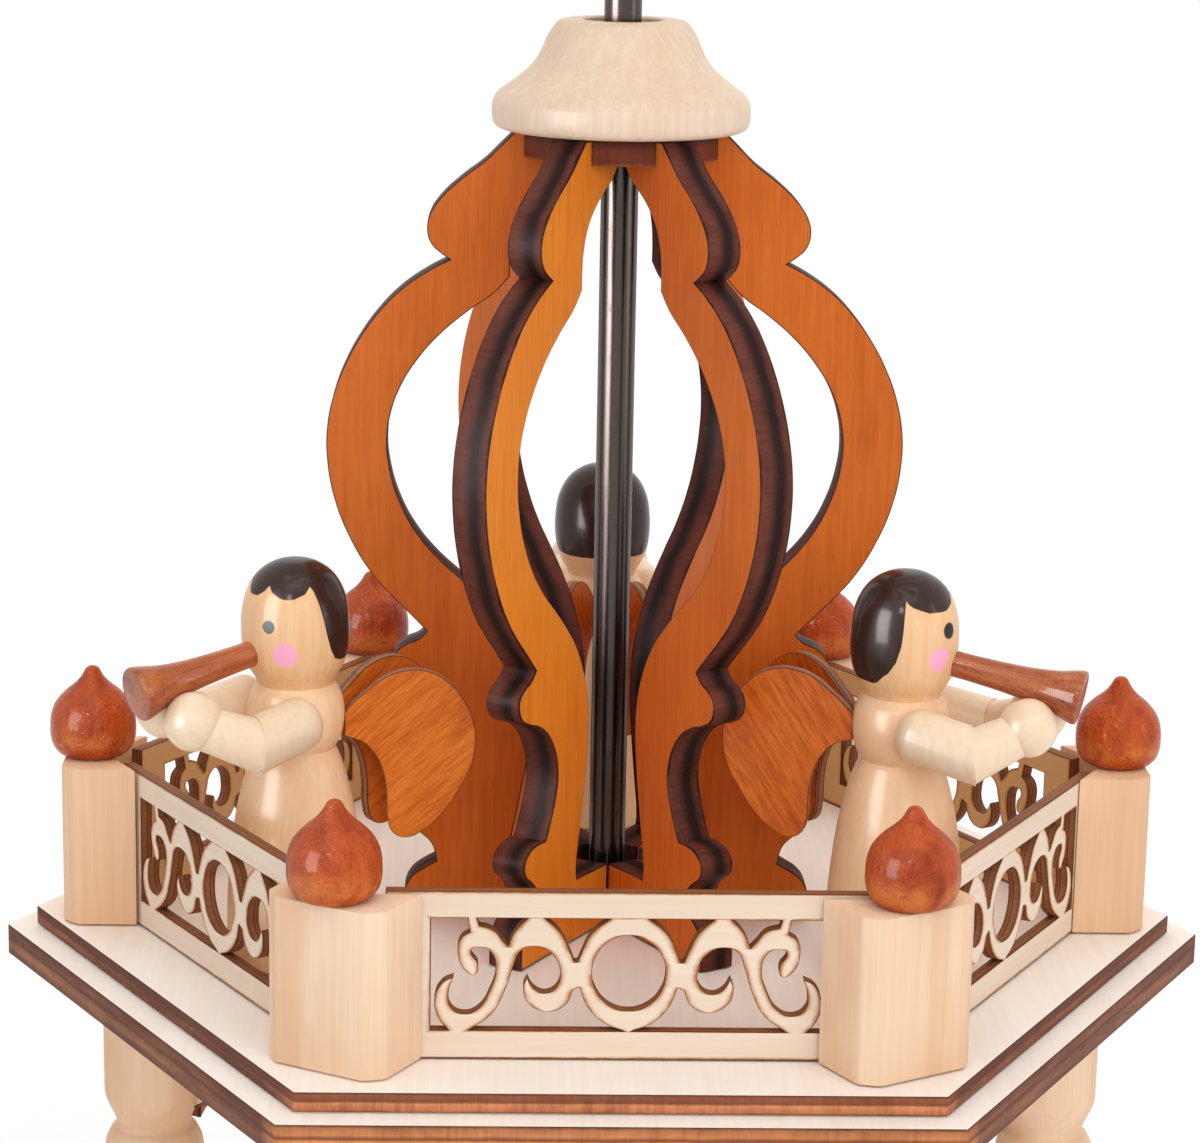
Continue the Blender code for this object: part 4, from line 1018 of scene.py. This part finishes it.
TABLE = [
    (3.3, 0, "c"), (8.5, 0, "c"), (9, 0.6), (9.6, 3), (10.9, 8.8, "c"), (55.2, 9, "c"), (56, 9.8),
    (56, 13.2), (55.2, 14, "c"), (3.3, 14, "c"), (3.3, 0, "c"),
]
settle("turntable", turned(TABLE, 128, 3), shift(0, 0, foot("turntable")), "turntable",
       [LIME], 6, "rotor")
print("cup, bearing and table", made["candle_cup_1"], made["bearing"], made["turntable"])

# %% [markdown]
# ## Shaft and fan
# The steel rod ends in a ground point below. On top sits the hub, with a peg for every
# blade running into it. A blade is thin ply, set on the end of its peg and pitched like a sail.

# %% Shaft and hub
rod_low, rod_high = (corner.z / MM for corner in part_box("shaft"))
rod_length = rod_high - rod_low
ROD_RADIUS, ROD_POINT, ROD_EDGE = 3.0, 4.0, 0.5
ROD = [(0, 0, "c"), (ROD_RADIUS, ROD_POINT, "c"), (ROD_RADIUS, rod_length - ROD_EDGE, "c"),
       (ROD_RADIUS - ROD_EDGE, rod_length, "c"), (0, rod_length, "c")]
settle("rod", turned(ROD, 96), shift(0, 0, rod_low), "shaft",
       [DIMMED_ROD_STEEL], body="rotor")
HUB = [
    (0, 15.5, "c"), (3.3, 15.5, "c"), (3.3, 0, "c"), (9.6, 0, "c"), (12.4, 0.9), (14.2, 2.9),
    (15, 5.6), (15, 14.4), (14.4, 16.2), (12.6, 17.9), (9.6, 19.3), (5, 19.9), (0, 20, "c"),
]
settle("hub", turned(HUB, 96), shift(0, 0, foot("rotor_hub")), "rotor_hub",
       [LIME], 7, "rotor")
print("rod of", round(rod_length, 1), "mm")

# %% Blades
BLADE = [
    (24, -6.5, "c"), (117, -22, "c"), (120.5, -21.2), (122.5, -17.6), (124, 0), (122.5, 17.6),
    (120.5, 21.2), (117, 22, "c"), (24, 6.5, "c"),
]
PEG = [(0, 0, "c"), (1.9, 0, "c"), (2.2, 0.4, "c"), (2.2, 24.5), (1.6, 26.2), (0, 26.5, "c")]
PITCH = 40
PEG_LEVEL = foot("rotor_hub") + 10
PEG_START = 7.5
for i in range(8):
    node, body = f"blade_{i + 1}", f"blade_{i + 1}_body"
    pitched = turned_by(45 * i) @ shift(0, 0, PEG_LEVEL) @ turned_by(PITCH, "X")
    settle(node, sawn([BLADE], 1.6), pitched @ turned_by(-90, "X"), node,
           [BLADE_FACE, BLADE_EDGE], 61 + i, body)
    settle(f"peg_{i + 1}", turned(PEG, 32), pitched @ shift(PEG_START, 0, 0) @ turned_by(90, "Y"),
           None, [LIME], 71 + i, body)
print("pieces", len(made), "faces", sum(made.values()))

# %% [markdown]
# ## Studio
# The photograph looks slightly down on the upper storey against plain white. The camera
# numbers come from fitting the deck's corners. It starts at the point it looks at, is
# tilted and rolled in degrees, and then steps back. A pale floor keeps the shadow. Soft
# lamps in front, above and behind give the light. Three more are only seen mirrored, and
# give the highlights on lacquer and steel.

# %% Camera
CAMERA_DISTANCE = 569.88
CAMERA_PITCH, CAMERA_YAW, CAMERA_ROLL = 13.2133, 1.8256, 1.0825
AIM_ASIDE, AIM_HEIGHT = -1.9933, 58.564
FOCAL_PIXELS, FRAME_PIXELS = 3468.816, 1200
SENSOR = 36
camera_data = bpy.data.cameras.new("camera")
camera_data.sensor_width = SENSOR
camera_data.lens = FOCAL_PIXELS / FRAME_PIXELS * SENSOR
camera = add_object("camera", camera_data)
aim = turned_by(-CAMERA_YAW) @ shift(AIM_ASIDE, 0, DECK + AIM_HEIGHT)
tilt = turned_by(90 - CAMERA_PITCH, "X") @ turned_by(CAMERA_ROLL)
camera.matrix_world = aim @ tilt @ shift(0, 0, CAMERA_DISTANCE)
bpy.context.scene.camera = camera
print("camera at", [round(v, 3) for v in camera.matrix_world.translation])

# %% [markdown]
# Past the shadow, the floor has to vanish into the white behind it. So it glows plain
# white there, but only for what is seen straight or in a reflection. To all other light
# it stays a grey floor, and the world is dimmer for that light in the same way.

# %% Floor
def as_seen(tree):
    """1 for what the camera sees straight, in a reflection or through glass, else 0."""
    rays = tree.nodes.new("ShaderNodeLightPath")
    straight, mirrored, through = (Shade(tree, rays.outputs[f"Is {kind} Ray"])
                                   for kind in ("Camera", "Glossy", "Transmission"))
    return (straight + mirrored + through).clamped()


FADE_FROM, FADE_TO = 0.17, 0.32
floor_material, floor_shader, paint = finish("floor", 0.9, specular=0.5)
floor_shader.inputs["Base Color"].default_value = (0.86, 0.86, 0.86, 1)
tree = paint.tree
far = paint.node("ShaderNodeTexCoord", {}, {}, 3).away_from(0, 0, 0).between(FADE_FROM, FADE_TO)
white = paint.node("ShaderNodeEmission", {}, {"Color": (1, 1, 1, 1), "Strength": 1.0})
grey = Shade(tree, floor_shader.outputs[0])
mixed = paint.node("ShaderNodeMixShader", {}, {0: as_seen(tree) * far, 1: grey, 2: white})
tree.links.new(mixed.socket, tree.nodes["Material Output"].inputs["Surface"])
bm = bmesh.new()
bmesh.ops.create_circle(bm, cap_ends=True, segments=64, radius=6)
floor_mesh = bpy.data.meshes.new("floor")
bm.to_mesh(floor_mesh)
bm.free()
floor_mesh.materials.append(floor_material)
floor = add_object("floor", floor_mesh)
floor.location.z = -0.2 * MM
print("floor laid")

# %% World and lamps
world = bpy.data.worlds.new("studio")
world.use_nodes = True
bpy.context.scene.world = world
tree = world.node_tree
sky = tree.nodes["Background"]
AMBIENT = 0.66
sky.inputs["Color"].default_value = (1, 1, 1, 1)
tree.links.new((as_seen(tree) * (1 - AMBIENT) + AMBIENT).socket, sky.inputs["Strength"])


def softbox(name, place, aim, width, height, power, diffuse=True, glossy=True):
    """A soft lamp. One may light without being mirrored, or be mirrored without lighting."""
    lamp = bpy.data.lights.new(name, "AREA")
    lamp.shape = "RECTANGLE"
    lamp.size, lamp.size_y, lamp.energy = width, height, power
    box = add_object(name, lamp)
    box.location = place
    box.rotation_euler = (Vector(aim) - Vector(place)).to_track_quat("-Z", "Y").to_euler()
    box.visible_camera = False
    box.visible_diffuse, box.visible_glossy = diffuse, glossy


softbox("front softbox", (0.5, -1.2, 0.7), (0, 0, 0.2), 1.3, 1.3, 7.2, glossy=False)
softbox("overhead", (0, -0.3, 1.0), (0, 0, 0.1), 0.7, 0.7, 2.4)
softbox("back bounce", (0, 0.5, 0.95), (0, 0, 0.17), 1.1, 0.8, 4.5, glossy=False)
softbox("sparkle", (-0.25, -0.95, 0.85), (0, 0, 0.2), 0.16, 0.16, 1.6, diffuse=False)
softbox("left strip", (-0.55, -0.43, 0.32), (0, 0, 0.2), 0.36, 0.5, 9.0, diffuse=False)
softbox("right strip", (0.64, -0.28, 0.34), (0, 0, 0.2), 0.09, 0.5, 0.5, diffuse=False)
bpy.context.scene.view_settings.view_transform = "Standard"
